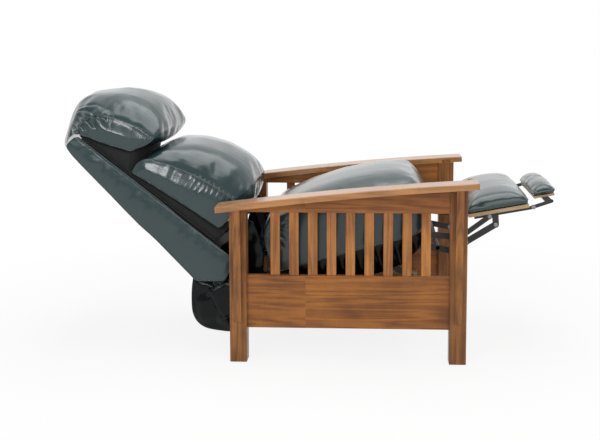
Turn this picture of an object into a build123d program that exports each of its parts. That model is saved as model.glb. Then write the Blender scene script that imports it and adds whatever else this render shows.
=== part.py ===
from build123d import *
import math
import os

# Mission reclining armchair with a slatted oak frame and leather cushions, shown reclined.
# Millimetres, +Z up. The chair faces +X, and the sitter's right side is -Y.
# X is measured from midway between the posts, and the finished chair is centred at the end.
# Most outlines are drawn in X and Z and given their thickness across the chair.

RIGHT = -1
LEFT = 1
SIDES = (("right", RIGHT), ("left", LEFT))

# Oak frame
POST_SIZE = 58.0
POST_SPAN_X = 750.0
POST_SPAN_Y = 622.0
GLIDE_THICKNESS = 3.0
GLIDE_DIAMETER = 32.0
ARM_WIDTH = 90.0
ARM_THICKNESS = 21.5
ARM_REAR_OVERHANG = 43.0
ARM_FRONT_OVERHANG = 33.0
ARM_INSIDE_OVERHANG = 12.0
ARM_REAR_TOP = 549.0
ARM_FRONT_TOP = 635.0
ARM_BOW = 8.5
ARM_CORNER = 6.0
ARM_EDGE = 2.5
EASED_EDGE = 2.5
RAIL_THICKNESS = 22.0
BOTTOM_RAIL_BOTTOM = 119.0
BOTTOM_RAIL_HEIGHT = 184.0
TOP_RAIL_BOTTOM = 522.0
SLAT_COUNT = 9
SLAT_WIDTH = 32.0
SLAT_THICKNESS = 12.0
SLAT_PITCH = 64.4
SLAT_SHIFT = 8.0
TENON_LENGTH = 12.0
TENON_SHOULDER = 6.0
WOOD_FIT = 0.1
CORBEL_WIDTH = 25.5
CORBEL_TOP_DEPTH = 40.0
CORBEL_FOOT_DEPTH = 10.0
CORBEL_FOOT_HEIGHT = 146.0
CORBEL_STRAIGHT = 22.0
CORBEL_WAIST_share = 0.42
CORBEL_WAIST_DEPTH = 19.0
REAR_RAIL_HEIGHT = 91.0
CLEAT_HEIGHT = 40.0
CLEAT_WIDTH = 38.0

# Tilted frames of the soft parts: origin in X and Z, and slope in degrees
SEAT_ORIGIN = (-300.0, 281.0)
SEAT_TILT = 15.3
FOOT_TILT = 10.4
BACK_ORIGIN = (-534.0, 262.0)
BACK_TILT = 43.7

# Recliner mechanism: flat steel links in layers, counted outwards from the base plate
STEEL = 3.5
LAYER_GAP = 1.5
ROUND_SIDES = 12
BASE_LAYER = 0
SWING_LAYER = 1
LOWER_LIFT_LAYER = 2
SEAT_LAYER = 3
UPPER_LIFT_LAYER = 4
GUIDE_LAYER = 5
MECHANISM_INSET = 97.0
LINK_RADIUS = 11.0
GUIDE_RADIUS = 8.8
PIVOT_RADIUS = 4.0
PIVOT_FIT = 0.05
RIVET_HEAD_RADIUS = 7.5
RIVET_HEAD = 0.7
FACE_GAP = 0.1
OPEN_PIVOT_CLEARANCE = 0.6
GUIDE_PIVOT_CLEARANCE = 2.8
CROSS_TUBE_RADIUS = 8.5
CROSS_TUBE_WALL = 1.5

# Pivots at rest, in X and Z. The second table counts from the front end of the seat's side rails.
FRONT_SWING_BASE = (233.0, 167.4)
FRONT_SWING_SEAT = (60.0, 257.9)
REAR_SWING_BASE = (-27.4, 227.1)
REAR_SWING_SEAT = (-90.0, 275.4)
BACK_PIVOT = (-378.0, 448.0)
LOWER_LIFT_AT_SEAT = (25.5, -27.4)
LOWER_LIFT_AT_CARRIER = (174.8, -55.1)
UPPER_LIFT_AT_SEAT = (49.3, 10.5)
UPPER_LIFT_AT_CARRIER = (198.6, -17.3)
UPPER_LIFT_AT_GUIDE = (176.3, -0.4)
FOOTREST_TILT_AT = (300.2, 45.3)
GUIDE_AT_FOOTREST = (277.8, 75.5)
FOOTREST_AT = (200.8, 72.1)

# Base plate and cross bars
BASE_PLATE_BOTTOM = 125.0
BASE_PLATE_FRONT = 262.0
BASE_PLATE_REAR = -62.0
BASE_WEB_HEIGHT = 26.0
BASE_LOBE_RADIUS = 14.0
CROSS_BAR_DEPTH = 25.0
CROSS_BAR_HEIGHT = 15.0
FRONT_BAR_X = 202.0
REAR_BAR_X = -35.0

# Seat
ARC_CHORDS = 4
SEAT_SIDE_GAP = 36.0
SEAT_LENGTH = 611.0
SEAT_HEIGHT = 240.0
SEAT_REAR = 25.0
SEAT_RAIL_REAR = 42.0
SEAT_NOSE = 123.0
SEAT_RAIL_HEIGHT = 75.0
SEAT_RAIL_THICKNESS = 21.5
SEAT_RAIL_INSET = 21.0
SOFT_GAP = 0.5
SKIRT_THICKNESS = 2.5
SKIRT_REAR = 275.0
SKIRT_FRONT = 529.0
SKIRT_REAR_DROP = 35.0
SKIRT_FRONT_DROP = 82.0
SKIRT_LAP = 30.0
SPRING_COUNT = 4
SPRING_WIRE = 3.5
SPRING_WIDTH = 52.0
SPRING_BENDS = 10
SEAT_BAND = 22.0
SEAT_PLATE_LAP = 45.0

# Footrest
FOOTREST_HALF_WIDTH = 250.0
FOOTREST_LENGTH = 219.0
FOOTREST_CROWN = 59.0
FOOTREST_BOARD = 12.0
FOOT_BOARD_INSET = 4.0
FOOT_FLANGE_WIDTH = 20.0
FLAP_HALF_WIDTH = 165.0
FLAP_GAP = 24.0
FLAP_LENGTH = 84.0
FLAP_BOARD = 8.0
FLAP_CROWN = 42.0
FLAP_HINGE = (231.5, -6.0)
FLAP_BOARD_BOTTOM = 9.8
FLAP_FLANGE_REACH = 75.0
HINGE_RADIUS = 6.0

# Back
BACK_SIDE_GAP = 32.0
WING_THICKNESS = 40.0
WING_LENGTH = 655.0
WING_FOOT = 151.0
WING_TOP = 54.0
WING_TOE_DROP = 70.0
WING_HEEL_share = 0.6
WING_CORNER = 5.0
BACK_PANEL = 6.0
STILE_DEPTH = 40.0
STILE_WIDTH = 22.0
STILE_TOP = 640.0
STILE_FOOT = 8.0
BACK_RAIL_HEIGHT = 60.0
WEBBING_COUNT = 6
WEBBING_WIDTH = 50.0
WEBBING_THICKNESS = 2.5
LINING_INSET = 18.0
CUSHION_HALF_WIDTH = 262.0
LUMBAR_ORIGIN = (95.0, 68.0)
LUMBAR_DEPTH = 310.0
LUMBAR_LENGTH = 370.0
PILLOW_REAR = 8.0
PILLOW_LIFT = 34.0
PILLOW_DEPTH = 312.0
PILLOW_LENGTH = 300.0
CURTAIN_THICKNESS = 3.0
CURTAIN_BOTTOM = 82.0
CURTAIN_DEPTH = 163.0
CURTAIN_HEIGHT = 177.0
CURTAIN_LAP = 15.0
CURTAIN_FOLD_RADIUS = 8.0
CURTAIN_BEND_RADIUS = 26.0

# Outlines as shares. Each cushion row is a corner and then the middle of the arc that leaves it, where
# None means a straight edge. The first number is a share of the depth, the second of the height.
SEAT_MIDDLE_shares = (
    (0.025, 0.0), None, (0.835, 0.0), (0.925, 0.075), (0.974, 0.22), (0.999, 0.55),
    (0.955, 0.91), (0.56, 1.045), (0.085, 0.91), (0.012, 0.72), (0.0, 0.4), (0.008, 0.16),
)
SEAT_EDGE_shares = (
    (0.03, 0.0), None, (0.835, 0.0), (0.915, 0.085), (0.962, 0.24), (0.972, 0.5),
    (0.92, 0.79), (0.52, 0.9), (0.11, 0.8), (0.035, 0.62), (0.018, 0.4), (0.02, 0.18),
)
LUMBAR_MIDDLE_shares = (
    (0.29, 0.0), (0.17, 0.48), (0.01, 1.0), (0.27, 1.0), (0.52, 0.945), (0.92, 0.51),
    (0.985, 0.055), (0.68, -0.02),
)
LUMBAR_EDGE_shares = (
    (0.295, 0.02), (0.17, 0.49), (0.015, 0.985), (0.15, 1.015), (0.27, 0.985), (0.545, 0.53),
    (0.665, 0.13), (0.49, 0.03),
)
PILLOW_MIDDLE_shares = (
    (0.17, 0.61), (0.3, 0.3), (0.47, 0.02), (0.72, 0.0), (0.92, -0.03), (0.99, 0.03),
    (0.995, 0.13), (0.85, 0.59), (0.585, 0.82), (0.26, 0.99), (0.01, 0.74), (0.05, 0.635),
)
PILLOW_EDGE_shares = (
    (0.18, 0.6), (0.31, 0.31), (0.47, 0.03), (0.62, 0.02), (0.75, 0.015), (0.775, 0.025),
    (0.785, 0.05), (0.66, 0.34), (0.5, 0.63), (0.35, 0.67), (0.21, 0.66), (0.185, 0.63),
)
FOOTREST_MIDDLE_shares = (
    (0.0, 0.0), None, (1.0, 0.0), (1.015, 0.35), (0.915, 0.82), (0.55, 1.03), (0.09, 0.86), (-0.005, 0.45),
)
FOOTREST_EDGE_shares = (
    (0.01, 0.0), None, (0.985, 0.0), (0.995, 0.25), (0.92, 0.55), (0.52, 0.66), (0.08, 0.55), (0.0, 0.28),
)
FLAP_MIDDLE_shares = (
    (0.02, 0.0), None, (0.94, 0.0), (1.03, 0.38), (0.9, 0.82), (0.5, 1.03), (0.1, 0.86), (-0.01, 0.45),
)
FLAP_EDGE_shares = (
    (0.03, 0.0), None, (0.92, 0.0), (0.98, 0.25), (0.88, 0.5), (0.5, 0.58), (0.12, 0.52), (0.02, 0.25),
)
# Across a cushion: share of the half width, and how full the section is there
STATION_shares = ((1.0, -0.22), (0.975, 0.12), (0.86, 0.55), (0.56, 0.87), (0.0, 1.0))
CURTAIN_shares = ((0.0, 0.66), (0.02, 0.29), (0.31, 0.05), (0.86, 0.0), (1.0, 0.1))

# Places worked out from the sizes above
BOTTOM_RAIL_TOP = BOTTOM_RAIL_BOTTOM + BOTTOM_RAIL_HEIGHT
POST_HALF = POST_SIZE / 2
REAR_POST_X = -POST_SPAN_X / 2
FRONT_POST_X = POST_SPAN_X / 2
RAIL_FRONT = FRONT_POST_X - POST_HALF
RAIL_REAR = REAR_POST_X + POST_HALF
RAIL_CENTRE_Y = POST_SPAN_Y / 2
RAIL_INNER = RAIL_CENTRE_Y - RAIL_THICKNESS / 2
ARM_REAR = REAR_POST_X - POST_HALF - ARM_REAR_OVERHANG
ARM_FRONT = FRONT_POST_X + POST_HALF + ARM_FRONT_OVERHANG
ARM_INNER = RAIL_CENTRE_Y - POST_HALF + ARM_INSIDE_OVERHANG
SEAT_HALF_WIDTH = RAIL_INNER - SEAT_SIDE_GAP
BACK_HALF_WIDTH = RAIL_INNER - BACK_SIDE_GAP
WING_INNER = BACK_HALF_WIDTH - WING_THICKNESS
SEAT_RAIL_OUTER = SEAT_HALF_WIDTH - SEAT_RAIL_INSET
SEAT_RAIL_INNER = SEAT_RAIL_OUTER - SEAT_RAIL_THICKNESS
SEAT_RAIL_LENGTH = SEAT_LENGTH - SEAT_NOSE
SEAT_RAIL_FRONT = SEAT_RAIL_REAR + SEAT_RAIL_LENGTH
PILLOW_ORIGIN = (PILLOW_REAR, LUMBAR_ORIGIN[1] + LUMBAR_LENGTH + PILLOW_LIFT)
OVERRUN = 2 * POST_SPAN_Y


# Helpers

def layer(number):
    """Inner and outer distance of a mechanism layer from the middle plane."""
    inner = RAIL_INNER - MECHANISM_INSET + number * (STEEL + LAYER_GAP)
    return inner, inner + STEEL


def mapped(origin, tilt, x, z):
    """A point of a tilted frame, in X and Z of the chair."""
    turn = math.radians(tilt)
    return (
        origin[0] + x * math.cos(turn) - z * math.sin(turn),
        origin[1] + x * math.sin(turn) + z * math.cos(turn),
    )


def seat_at(x, z):
    return mapped(SEAT_ORIGIN, SEAT_TILT, x, z)


def ahead(offset):
    """A place counted from the front end of the seat's side rails."""
    x, z = seat_at(SEAT_RAIL_FRONT, 0)
    return x + offset[0], z + offset[1]


LOWER_LIFT_SEAT = ahead(LOWER_LIFT_AT_SEAT)
LOWER_LIFT_CARRIER = ahead(LOWER_LIFT_AT_CARRIER)
UPPER_LIFT_SEAT = ahead(UPPER_LIFT_AT_SEAT)
UPPER_LIFT_CARRIER = ahead(UPPER_LIFT_AT_CARRIER)
UPPER_LIFT_GUIDE = ahead(UPPER_LIFT_AT_GUIDE)
FOOTREST_PIVOT = ahead(FOOTREST_TILT_AT)
GUIDE_FOOTREST = ahead(GUIDE_AT_FOOTREST)
FOOT_ORIGIN = ahead(FOOTREST_AT)


def foot_at(x, z):
    return mapped(FOOT_ORIGIN, FOOT_TILT, x, z)


def back_at(x, z):
    return mapped(BACK_ORIGIN, BACK_TILT, x, z)


def polygon(*points):
    return make_face(Polyline(*points, close=True))


def disc(point, radius):
    """A round outline, drawn with a few flats because it repeats so often."""
    return Pos(point[0], point[1]) * RegularPolygon(radius, ROUND_SIDES)


def half_round(centre, radius, turn):
    steps = [turn + 2 * math.pi * number / ROUND_SIDES for number in range(ROUND_SIDES // 2 + 1)]
    return [(centre[0] + radius * math.cos(angle), centre[1] + radius * math.sin(angle)) for angle in steps]


def bar(start, end, radius):
    """The outline of a flat link between two pivots, with round ends."""
    turn = math.atan2(end[1] - start[1], end[0] - start[0]) - math.pi / 2
    return polygon(*half_round(end, radius, turn), *half_round(start, radius, turn + math.pi))


def plate(outline, inner, outer, side):
    """Gives an outline in X and Z its thickness between two distances from the middle plane."""
    solid = extrude(Plane.XZ * outline, amount=outer - inner)
    return Pos(0, outer if side == LEFT else -inner, 0) * solid


def across(outline, half_width):
    return plate(outline, -half_width, half_width, RIGHT)


def both(outline, inner, outer):
    return [plate(outline, inner, outer, side) for name, side in SIDES]


def block(x0, x1, y0, y1, z0, z1):
    return Pos((x0 + x1) / 2, (y0 + y1) / 2, (z0 + z1) / 2) * Box(x1 - x0, y1 - y0, z1 - z0)


def rivet(point, inner_layer, outer_layer, side):
    """A rivet through two layers, with a collar between layers that don't lie next to each other."""
    inner, inner_face = layer(inner_layer)
    outer_face, outer = layer(outer_layer)
    shank = plate(Pos(*point) * Circle(PIVOT_RADIUS), inner - RIVET_HEAD, outer + RIVET_HEAD, side)
    heads = plate(disc(point, RIVET_HEAD_RADIUS), inner - RIVET_HEAD, inner - FACE_GAP, side)
    heads += plate(disc(point, RIVET_HEAD_RADIUS), outer + FACE_GAP, outer + RIVET_HEAD, side)
    if outer_layer - inner_layer > 1:
        heads += plate(disc(point, RIVET_HEAD_RADIUS), inner_face + FACE_GAP, outer_face - FACE_GAP, side)
    return shank + heads


def rivets(*places):
    """Rivets on both sides of the chair, each given as a pivot and its two layers."""
    return [rivet(point, low, high, side) for point, low, high in places for name, side in SIDES]


def holes(pivots, open_pivots=()):
    """Pivot holes: a running fit on the rivet, or a wider hole at an opened pivot."""
    sizes = [(point, PIVOT_FIT) for point in pivots] + list(open_pivots)
    flat = math.cos(math.pi / ROUND_SIDES)
    return [disc(point, (PIVOT_RADIUS + clearance) / flat) for point, clearance in sizes]


def section(shares, depth, height, origin, place, y):
    """One closed loop at a distance y, from corner and mid-arc shares, with each arc drawn as chords."""
    points = []
    for share in shares:
        if share is None:
            points.append(None)
            continue
        x, z = place(origin[0] + share[0] * depth, origin[1] + share[1] * height)
        points.append((x, y, z))
    corners = []
    for index in range(0, len(points), 2):
        start, middle, end = points[index], points[index + 1], points[(index + 2) % len(points)]
        corners.append(start)
        if middle is not None:
            arc = ThreePointArc(start, middle, end)
            corners += [arc @ (number / ARC_CHORDS) for number in range(1, ARC_CHORDS)]
    return polygon(*corners)


def cushion(middle, edge, depth, height, origin, place, half_width):
    """A stuffed cushion: sections across the chair swell from the seams at its sides to its crown."""
    stations = [(-share, fullness) for share, fullness in STATION_shares]
    stations += [(share, fullness) for share, fullness in reversed(STATION_shares[:-1])]
    faces = []
    for share, fullness in stations:
        mixed = []
        for inner, outer in zip(middle, edge):
            if inner is None:
                mixed.append(None)
                continue
            mixed.append(tuple(o + (i - o) * fullness for i, o in zip(inner, outer)))
        faces.append(section(mixed, depth, height, origin, place, share * half_width))
    return loft(faces, ruled=True)


# Oak frame

def arm_line(drop):
    """The bowed top of the arm, or a line that lies a drop below it."""
    slope = math.atan2(ARM_FRONT_TOP - ARM_REAR_TOP, ARM_FRONT - ARM_REAR)
    shift = drop * math.sin(slope)
    fall = drop * math.cos(slope)
    start = (ARM_REAR + shift, ARM_REAR_TOP - fall)
    end = (ARM_FRONT + shift, ARM_FRONT_TOP - fall)
    middle = ((start[0] + end[0]) / 2, (start[1] + end[1]) / 2 + ARM_BOW)
    return ThreePointArc(start, middle, end)


def above_arm_underside(drop):
    """Everything over the underside of the arm, to cut what stands below it."""
    low = arm_line(drop)
    start, end = low @ 0, low @ 1
    top = ARM_FRONT_TOP + OVERRUN
    walls = Polyline((end.X, end.Y), (end.X, top), (start.X, top), (start.X, start.Y))
    return across(make_face([low, *walls.edges()]), OVERRUN)


def arm_mortises(side):
    """The blind mortises under the arm for the stub tenons of its two posts."""
    high = ARM_FRONT_TOP + ARM_THICKNESS
    half = tenon_half() + WOOD_FIT
    rear = post_box(REAR_POST_X, side, GLIDE_THICKNESS, high, half)
    front = post_box(FRONT_POST_X, side, GLIDE_THICKNESS, high, half)
    return rear + front - above_arm_underside(ARM_THICKNESS - TENON_LENGTH)


def make_arm(side):
    top, low = arm_line(0), arm_line(ARM_THICKNESS)
    outline = make_face([top, Line(top @ 1, low @ 1), low, Line(low @ 0, top @ 0)])
    arm = plate(outline, ARM_INNER, ARM_INNER + ARM_WIDTH, side)
    ends = arm.edges().filter_by(lambda edge: abs((edge % 0).X) < abs((edge % 0).Z))
    arm = chamfer(ends, ARM_CORNER)
    top_face = arm.faces().filter_by(lambda face: face.normal_at().Z > math.cos(math.pi / 4))
    arm = chamfer(top_face[0].edges(), ARM_EDGE)
    return arm - arm_mortises(side)


def post_box(x, side, z0, z1, half):
    y = side * RAIL_CENTRE_Y
    return block(x - half, x + half, y - half, y + half, z0, z1)


def tenon_half():
    return POST_HALF - 2 * TENON_SHOULDER


def make_post(x, side, rail_tenons):
    high = ARM_FRONT_TOP + ARM_THICKNESS
    body = post_box(x, side, GLIDE_THICKNESS, high, POST_HALF)
    body = chamfer(body.edges().filter_by(Axis.Z), EASED_EDGE)
    shoulder = body - above_arm_underside(ARM_THICKNESS + WOOD_FIT)
    stub = post_box(x, side, GLIDE_THICKNESS, high, tenon_half())
    stub = stub - above_arm_underside(ARM_THICKNESS - TENON_LENGTH + WOOD_FIT)
    return shoulder + stub - rail_tenons


def make_glide(x, side):
    glide = extrude(disc((x, side * RAIL_CENTRE_Y), GLIDE_DIAMETER / 2), amount=GLIDE_THICKNESS)
    return chamfer(glide.faces().sort_by(Axis.Z)[0].edges(), GLIDE_THICKNESS / 3)


def slat_centres():
    first = SLAT_SHIFT - SLAT_PITCH * (SLAT_COUNT - 1) / 2
    return [first + SLAT_PITCH * number for number in range(SLAT_COUNT)]


def slat(x, side, width):
    low = BOTTOM_RAIL_TOP - TENON_LENGTH
    high = TOP_RAIL_BOTTOM + TENON_LENGTH
    y = side * RAIL_CENTRE_Y
    half = SLAT_THICKNESS / 2
    return block(x - width / 2, x + width / 2, y - half, y + half, low, high)


def rail_tenons(side, z0, z1, length):
    """The tongues on both ends of a side rail, which fill the mortises in the posts."""
    y = side * RAIL_CENTRE_Y
    half = RAIL_THICKNESS / 2 - TENON_SHOULDER
    low, high = z0 + TENON_SHOULDER, z1 - TENON_SHOULDER
    front = block(RAIL_FRONT, RAIL_FRONT + length, y - half, y + half, low, high)
    rear = block(RAIL_REAR - length, RAIL_REAR, y - half, y + half, low, high)
    return front + rear


def make_bottom_rail(side, slats):
    y = side * RAIL_CENTRE_Y
    half = RAIL_THICKNESS / 2
    rail = block(RAIL_REAR, RAIL_FRONT, y - half, y + half, BOTTOM_RAIL_BOTTOM, BOTTOM_RAIL_TOP)
    rail = chamfer(rail.edges().filter_by(Axis.X), EASED_EDGE / 2)
    rail += rail_tenons(side, BOTTOM_RAIL_BOTTOM, BOTTOM_RAIL_TOP, TENON_LENGTH)
    return rail - slats


def make_top_rail(side, slats):
    y = side * RAIL_CENTRE_Y
    half = RAIL_THICKNESS / 2
    rail = block(RAIL_REAR, RAIL_FRONT, y - half, y + half, TOP_RAIL_BOTTOM, ARM_FRONT_TOP)
    return rail - above_arm_underside(ARM_THICKNESS + WOOD_FIT) - slats


def make_corbel(x, side):
    """A shaped bracket on the outer face of a post: deep under the arm, thin at its foot."""
    foot, top = CORBEL_FOOT_HEIGHT, ARM_FRONT_TOP
    under = ARM_REAR_TOP - ARM_THICKNESS if x < 0 else ARM_FRONT_TOP - 2 * ARM_THICKNESS
    waist = (CORBEL_WAIST_DEPTH, foot + (under - foot) * CORBEL_WAIST_share)
    shoulder = (CORBEL_TOP_DEPTH, under - CORBEL_STRAIGHT)
    curve = ThreePointArc((CORBEL_FOOT_DEPTH, foot), waist, shoulder)
    lines = Polyline(shoulder, (CORBEL_TOP_DEPTH, top), (0, top), (0, foot), (CORBEL_FOOT_DEPTH, foot))
    outline = make_face([curve, *lines.edges()])
    solid = extrude(Plane.YZ * outline, amount=CORBEL_WIDTH / 2, both=True)
    if side == RIGHT:
        solid = mirror(solid, Plane.XZ)
    solid = Pos(x, side * (RAIL_CENTRE_Y + POST_HALF), 0) * solid
    return solid - above_arm_underside(ARM_THICKNESS + WOOD_FIT)


def make_rear_rail():
    half = RAIL_CENTRE_Y - POST_HALF
    x0, x1 = REAR_POST_X - RAIL_THICKNESS / 2, REAR_POST_X + RAIL_THICKNESS / 2
    high = BOTTOM_RAIL_BOTTOM + REAR_RAIL_HEIGHT
    rail = block(x0, x1, -half, half, BOTTOM_RAIL_BOTTOM, high)
    rail = chamfer(rail.edges().filter_by(Axis.Y), EASED_EDGE / 2)
    return rail + rear_rail_tongues()


def rear_rail_tongues():
    half = RAIL_CENTRE_Y - POST_HALF
    x0 = REAR_POST_X - RAIL_THICKNESS / 2 + TENON_SHOULDER
    x1 = REAR_POST_X + RAIL_THICKNESS / 2 - TENON_SHOULDER
    low = BOTTOM_RAIL_BOTTOM + TENON_SHOULDER
    high = BOTTOM_RAIL_BOTTOM + REAR_RAIL_HEIGHT - TENON_SHOULDER
    right = block(x0, x1, -half - TENON_LENGTH, -half, low, high)
    left = block(x0, x1, half, half + TENON_LENGTH, low, high)
    return right + left


# Base of the mechanism

def base_flange_top():
    return BASE_PLATE_BOTTOM + STEEL


def make_cleat(side):
    low = base_flange_top()
    inner, outer = RAIL_INNER - CLEAT_WIDTH, RAIL_INNER
    y0, y1 = sorted((side * inner, side * outer))
    return block(BASE_PLATE_REAR, BASE_PLATE_FRONT, y0, y1, low, low + CLEAT_HEIGHT)


def make_base_plate(side):
    """An angle: its flange is screwed under the cleat, its web holds the two lower pivots."""
    inner, outer = layer(BASE_LAYER)
    low, high = BASE_PLATE_BOTTOM, BASE_PLATE_BOTTOM + BASE_WEB_HEIGHT
    front, rear = BASE_PLATE_FRONT, BASE_PLATE_REAR
    web = polygon((rear, low), (front, low), (front, high), (rear, high))
    front_foot = (FRONT_SWING_BASE[0], high - BASE_LOBE_RADIUS)
    web += bar(front_foot, FRONT_SWING_BASE, BASE_LOBE_RADIUS)
    spread = 2 * BASE_LOBE_RADIUS
    crown = REAR_SWING_BASE
    web += polygon(
        (crown[0] - BASE_LOBE_RADIUS, crown[1]), (crown[0] + BASE_LOBE_RADIUS, crown[1]),
        (crown[0] + spread, high - STEEL), (crown[0] - spread, high - STEEL),
    )
    web += disc(crown, BASE_LOBE_RADIUS)
    for hole in holes([FRONT_SWING_BASE, REAR_SWING_BASE]):
        web -= hole
    angle = plate(web, inner, outer, side)
    flange_outer = RAIL_INNER - STEEL
    y0, y1 = sorted((side * inner, side * flange_outer))
    return angle + block(rear, front, y0, y1, low, base_flange_top())


def make_cross_bar(x):
    """An inverted channel between the base plates, with a tab turned up at each end."""
    half = layer(BASE_LAYER)[0]
    low = BASE_PLATE_BOTTOM
    x0, x1 = x - CROSS_BAR_DEPTH / 2, x + CROSS_BAR_DEPTH / 2
    high = low + STEEL + CROSS_BAR_HEIGHT
    outline = polygon(
        (x0, low), (x0 + STEEL, low), (x0 + STEEL, high - STEEL), (x1 - STEEL, high - STEEL),
        (x1 - STEEL, low), (x1, low), (x1, high), (x0, high),
    )
    beam = across(outline, half)
    for name, side in SIDES:
        beam += plate(polygon((x0, low), (x1, low), (x1, high), (x0, high)), half - STEEL, half, side)
    return beam


# Links

def link(path, radius, pivots, open_pivots=()):
    """A flat link with a round lobe at each point of its path and holes at its pivots."""
    outline = bar(path[0], path[1], radius)
    for start, end in zip(path[1:], path[2:]):
        outline += bar(start, end, radius)
    for hole in holes(pivots, open_pivots):
        outline -= hole
    return outline


def half_way(start, end):
    return ((start[0] + end[0]) / 2, (start[1] + end[1]) / 2)


def make_front_swing():
    path = [FRONT_SWING_BASE, FRONT_SWING_SEAT]
    return both(link(path, LINK_RADIUS, path), *layer(SWING_LAYER))


def make_rear_swing():
    opened = [(REAR_SWING_SEAT, OPEN_PIVOT_CLEARANCE)]
    outline = link([REAR_SWING_BASE, REAR_SWING_SEAT], LINK_RADIUS, [REAR_SWING_BASE], opened)
    return both(outline, *layer(SWING_LAYER))


def make_lower_lift():
    opened = [(LOWER_LIFT_CARRIER, OPEN_PIVOT_CLEARANCE)]
    outline = link([LOWER_LIFT_SEAT, LOWER_LIFT_CARRIER], LINK_RADIUS, [LOWER_LIFT_SEAT], opened)
    outline -= disc(half_way(LOWER_LIFT_SEAT, LOWER_LIFT_CARRIER), CROSS_TUBE_RADIUS)
    return both(outline, *layer(LOWER_LIFT_LAYER))


def make_cross_tube():
    centre = half_way(LOWER_LIFT_SEAT, LOWER_LIFT_CARRIER)
    ring = disc(centre, CROSS_TUBE_RADIUS) - disc(centre, CROSS_TUBE_RADIUS - CROSS_TUBE_WALL)
    return across(ring, layer(LOWER_LIFT_LAYER)[1])


def make_upper_lift():
    path = [UPPER_LIFT_SEAT, UPPER_LIFT_GUIDE, UPPER_LIFT_CARRIER]
    return both(link(path, LINK_RADIUS, path), *layer(UPPER_LIFT_LAYER))


def make_carrier():
    path = [LOWER_LIFT_CARRIER, UPPER_LIFT_CARRIER, FOOTREST_PIVOT]
    return both(link(path, LINK_RADIUS, path), *layer(SEAT_LAYER))


def make_guide():
    path = [UPPER_LIFT_GUIDE, GUIDE_FOOTREST]
    opened = [(GUIDE_FOOTREST, GUIDE_PIVOT_CLEARANCE)]
    return both(link(path, GUIDE_RADIUS, [UPPER_LIFT_GUIDE], opened), *layer(GUIDE_LAYER))


# Seat

def along_seat(point):
    """How far along the tilted seat a point lies."""
    turn = math.radians(SEAT_TILT)
    return (point[0] - SEAT_ORIGIN[0]) * math.cos(turn) + (point[1] - SEAT_ORIGIN[1]) * math.sin(turn)


def seat_plate_outline():
    """The pressed plate that carries the seat box, the swing links, the footrest links and the back."""
    band = SEAT_BAND
    rear, front = -band, SEAT_RAIL_FRONT + band
    outline = polygon(seat_at(rear, -band), seat_at(front, -band), seat_at(front, 0), seat_at(rear, 0))
    lap_rear, lap_front = SEAT_RAIL_REAR + band, SEAT_RAIL_FRONT - band
    outline += polygon(
        seat_at(lap_rear, -STEEL), seat_at(lap_front, -STEEL),
        seat_at(lap_front, SEAT_PLATE_LAP), seat_at(lap_rear, SEAT_PLATE_LAP),
    )
    for pivot in (FRONT_SWING_SEAT, REAR_SWING_SEAT):
        outline += bar(seat_at(along_seat(pivot), -band / 2), pivot, BASE_LOBE_RADIUS)
    outline += bar(seat_at(front - band, -band), LOWER_LIFT_SEAT, LINK_RADIUS)
    outline += bar(seat_at(front - band, -band), UPPER_LIFT_SEAT, LINK_RADIUS)
    outline += bar(LOWER_LIFT_SEAT, UPPER_LIFT_SEAT, LINK_RADIUS)
    outline += bar(seat_at(rear, -band / 2), BACK_PIVOT, BASE_LOBE_RADIUS)
    pivots = [FRONT_SWING_SEAT, REAR_SWING_SEAT, LOWER_LIFT_SEAT, UPPER_LIFT_SEAT, BACK_PIVOT]
    for hole in holes(pivots):
        outline -= hole
    return outline


def seat_box(x0, x1, z0, z1):
    return polygon(seat_at(x0, z0), seat_at(x1, z0), seat_at(x1, z1), seat_at(x0, z1))


def make_seat_side_rails():
    outline = seat_box(SEAT_RAIL_REAR, SEAT_RAIL_FRONT, 0, SEAT_RAIL_HEIGHT)
    return both(outline, SEAT_RAIL_INNER, SEAT_RAIL_OUTER)


def seat_rail_clear():
    """Half length of the front and rear seat rails, which butt against the seat plates."""
    return layer(SEAT_LAYER)[0]


def make_seat_rail(rear):
    outline = seat_box(rear, rear + SEAT_RAIL_THICKNESS, 0, SEAT_RAIL_HEIGHT)
    return across(outline, seat_rail_clear())


def seat_front_rail_rear():
    return SEAT_RAIL_FRONT - SEAT_RAIL_THICKNESS


def make_spring(y):
    """A sinuous spring, drawn with straights, lying on the front and rear rails."""
    length = SEAT_RAIL_LENGTH - SEAT_RAIL_THICKNESS
    pitch = length / SPRING_BENDS
    half = SPRING_WIDTH / 2 - pitch / 2
    start = SEAT_RAIL_REAR + SEAT_RAIL_THICKNESS / 2
    path = [(start, -half)]
    for number in range(SPRING_BENDS):
        way = 1 if number % 2 == 0 else -1
        x0 = start + number * pitch
        path += [(x0, way * half), (x0 + pitch / 2, way * (half + pitch / 2)), (x0 + pitch, way * half)]
    path.append((start + length, half if SPRING_BENDS % 2 == 0 else -half))
    ribbon = offset(Polyline(*path), amount=SPRING_WIRE / 2, kind=Kind.INTERSECTION)
    solid = extrude(make_face(ribbon.edges()), amount=SPRING_WIRE)
    x, z = SEAT_ORIGIN
    return Pos(x, 0, z) * Rot(0, -SEAT_TILT, 0) * Pos(0, y, SEAT_RAIL_HEIGHT) * solid


def spring_places():
    pitch = 2 * seat_rail_clear() / SPRING_COUNT
    return [pitch * (number - (SPRING_COUNT - 1) / 2) for number in range(SPRING_COUNT)]


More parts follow.
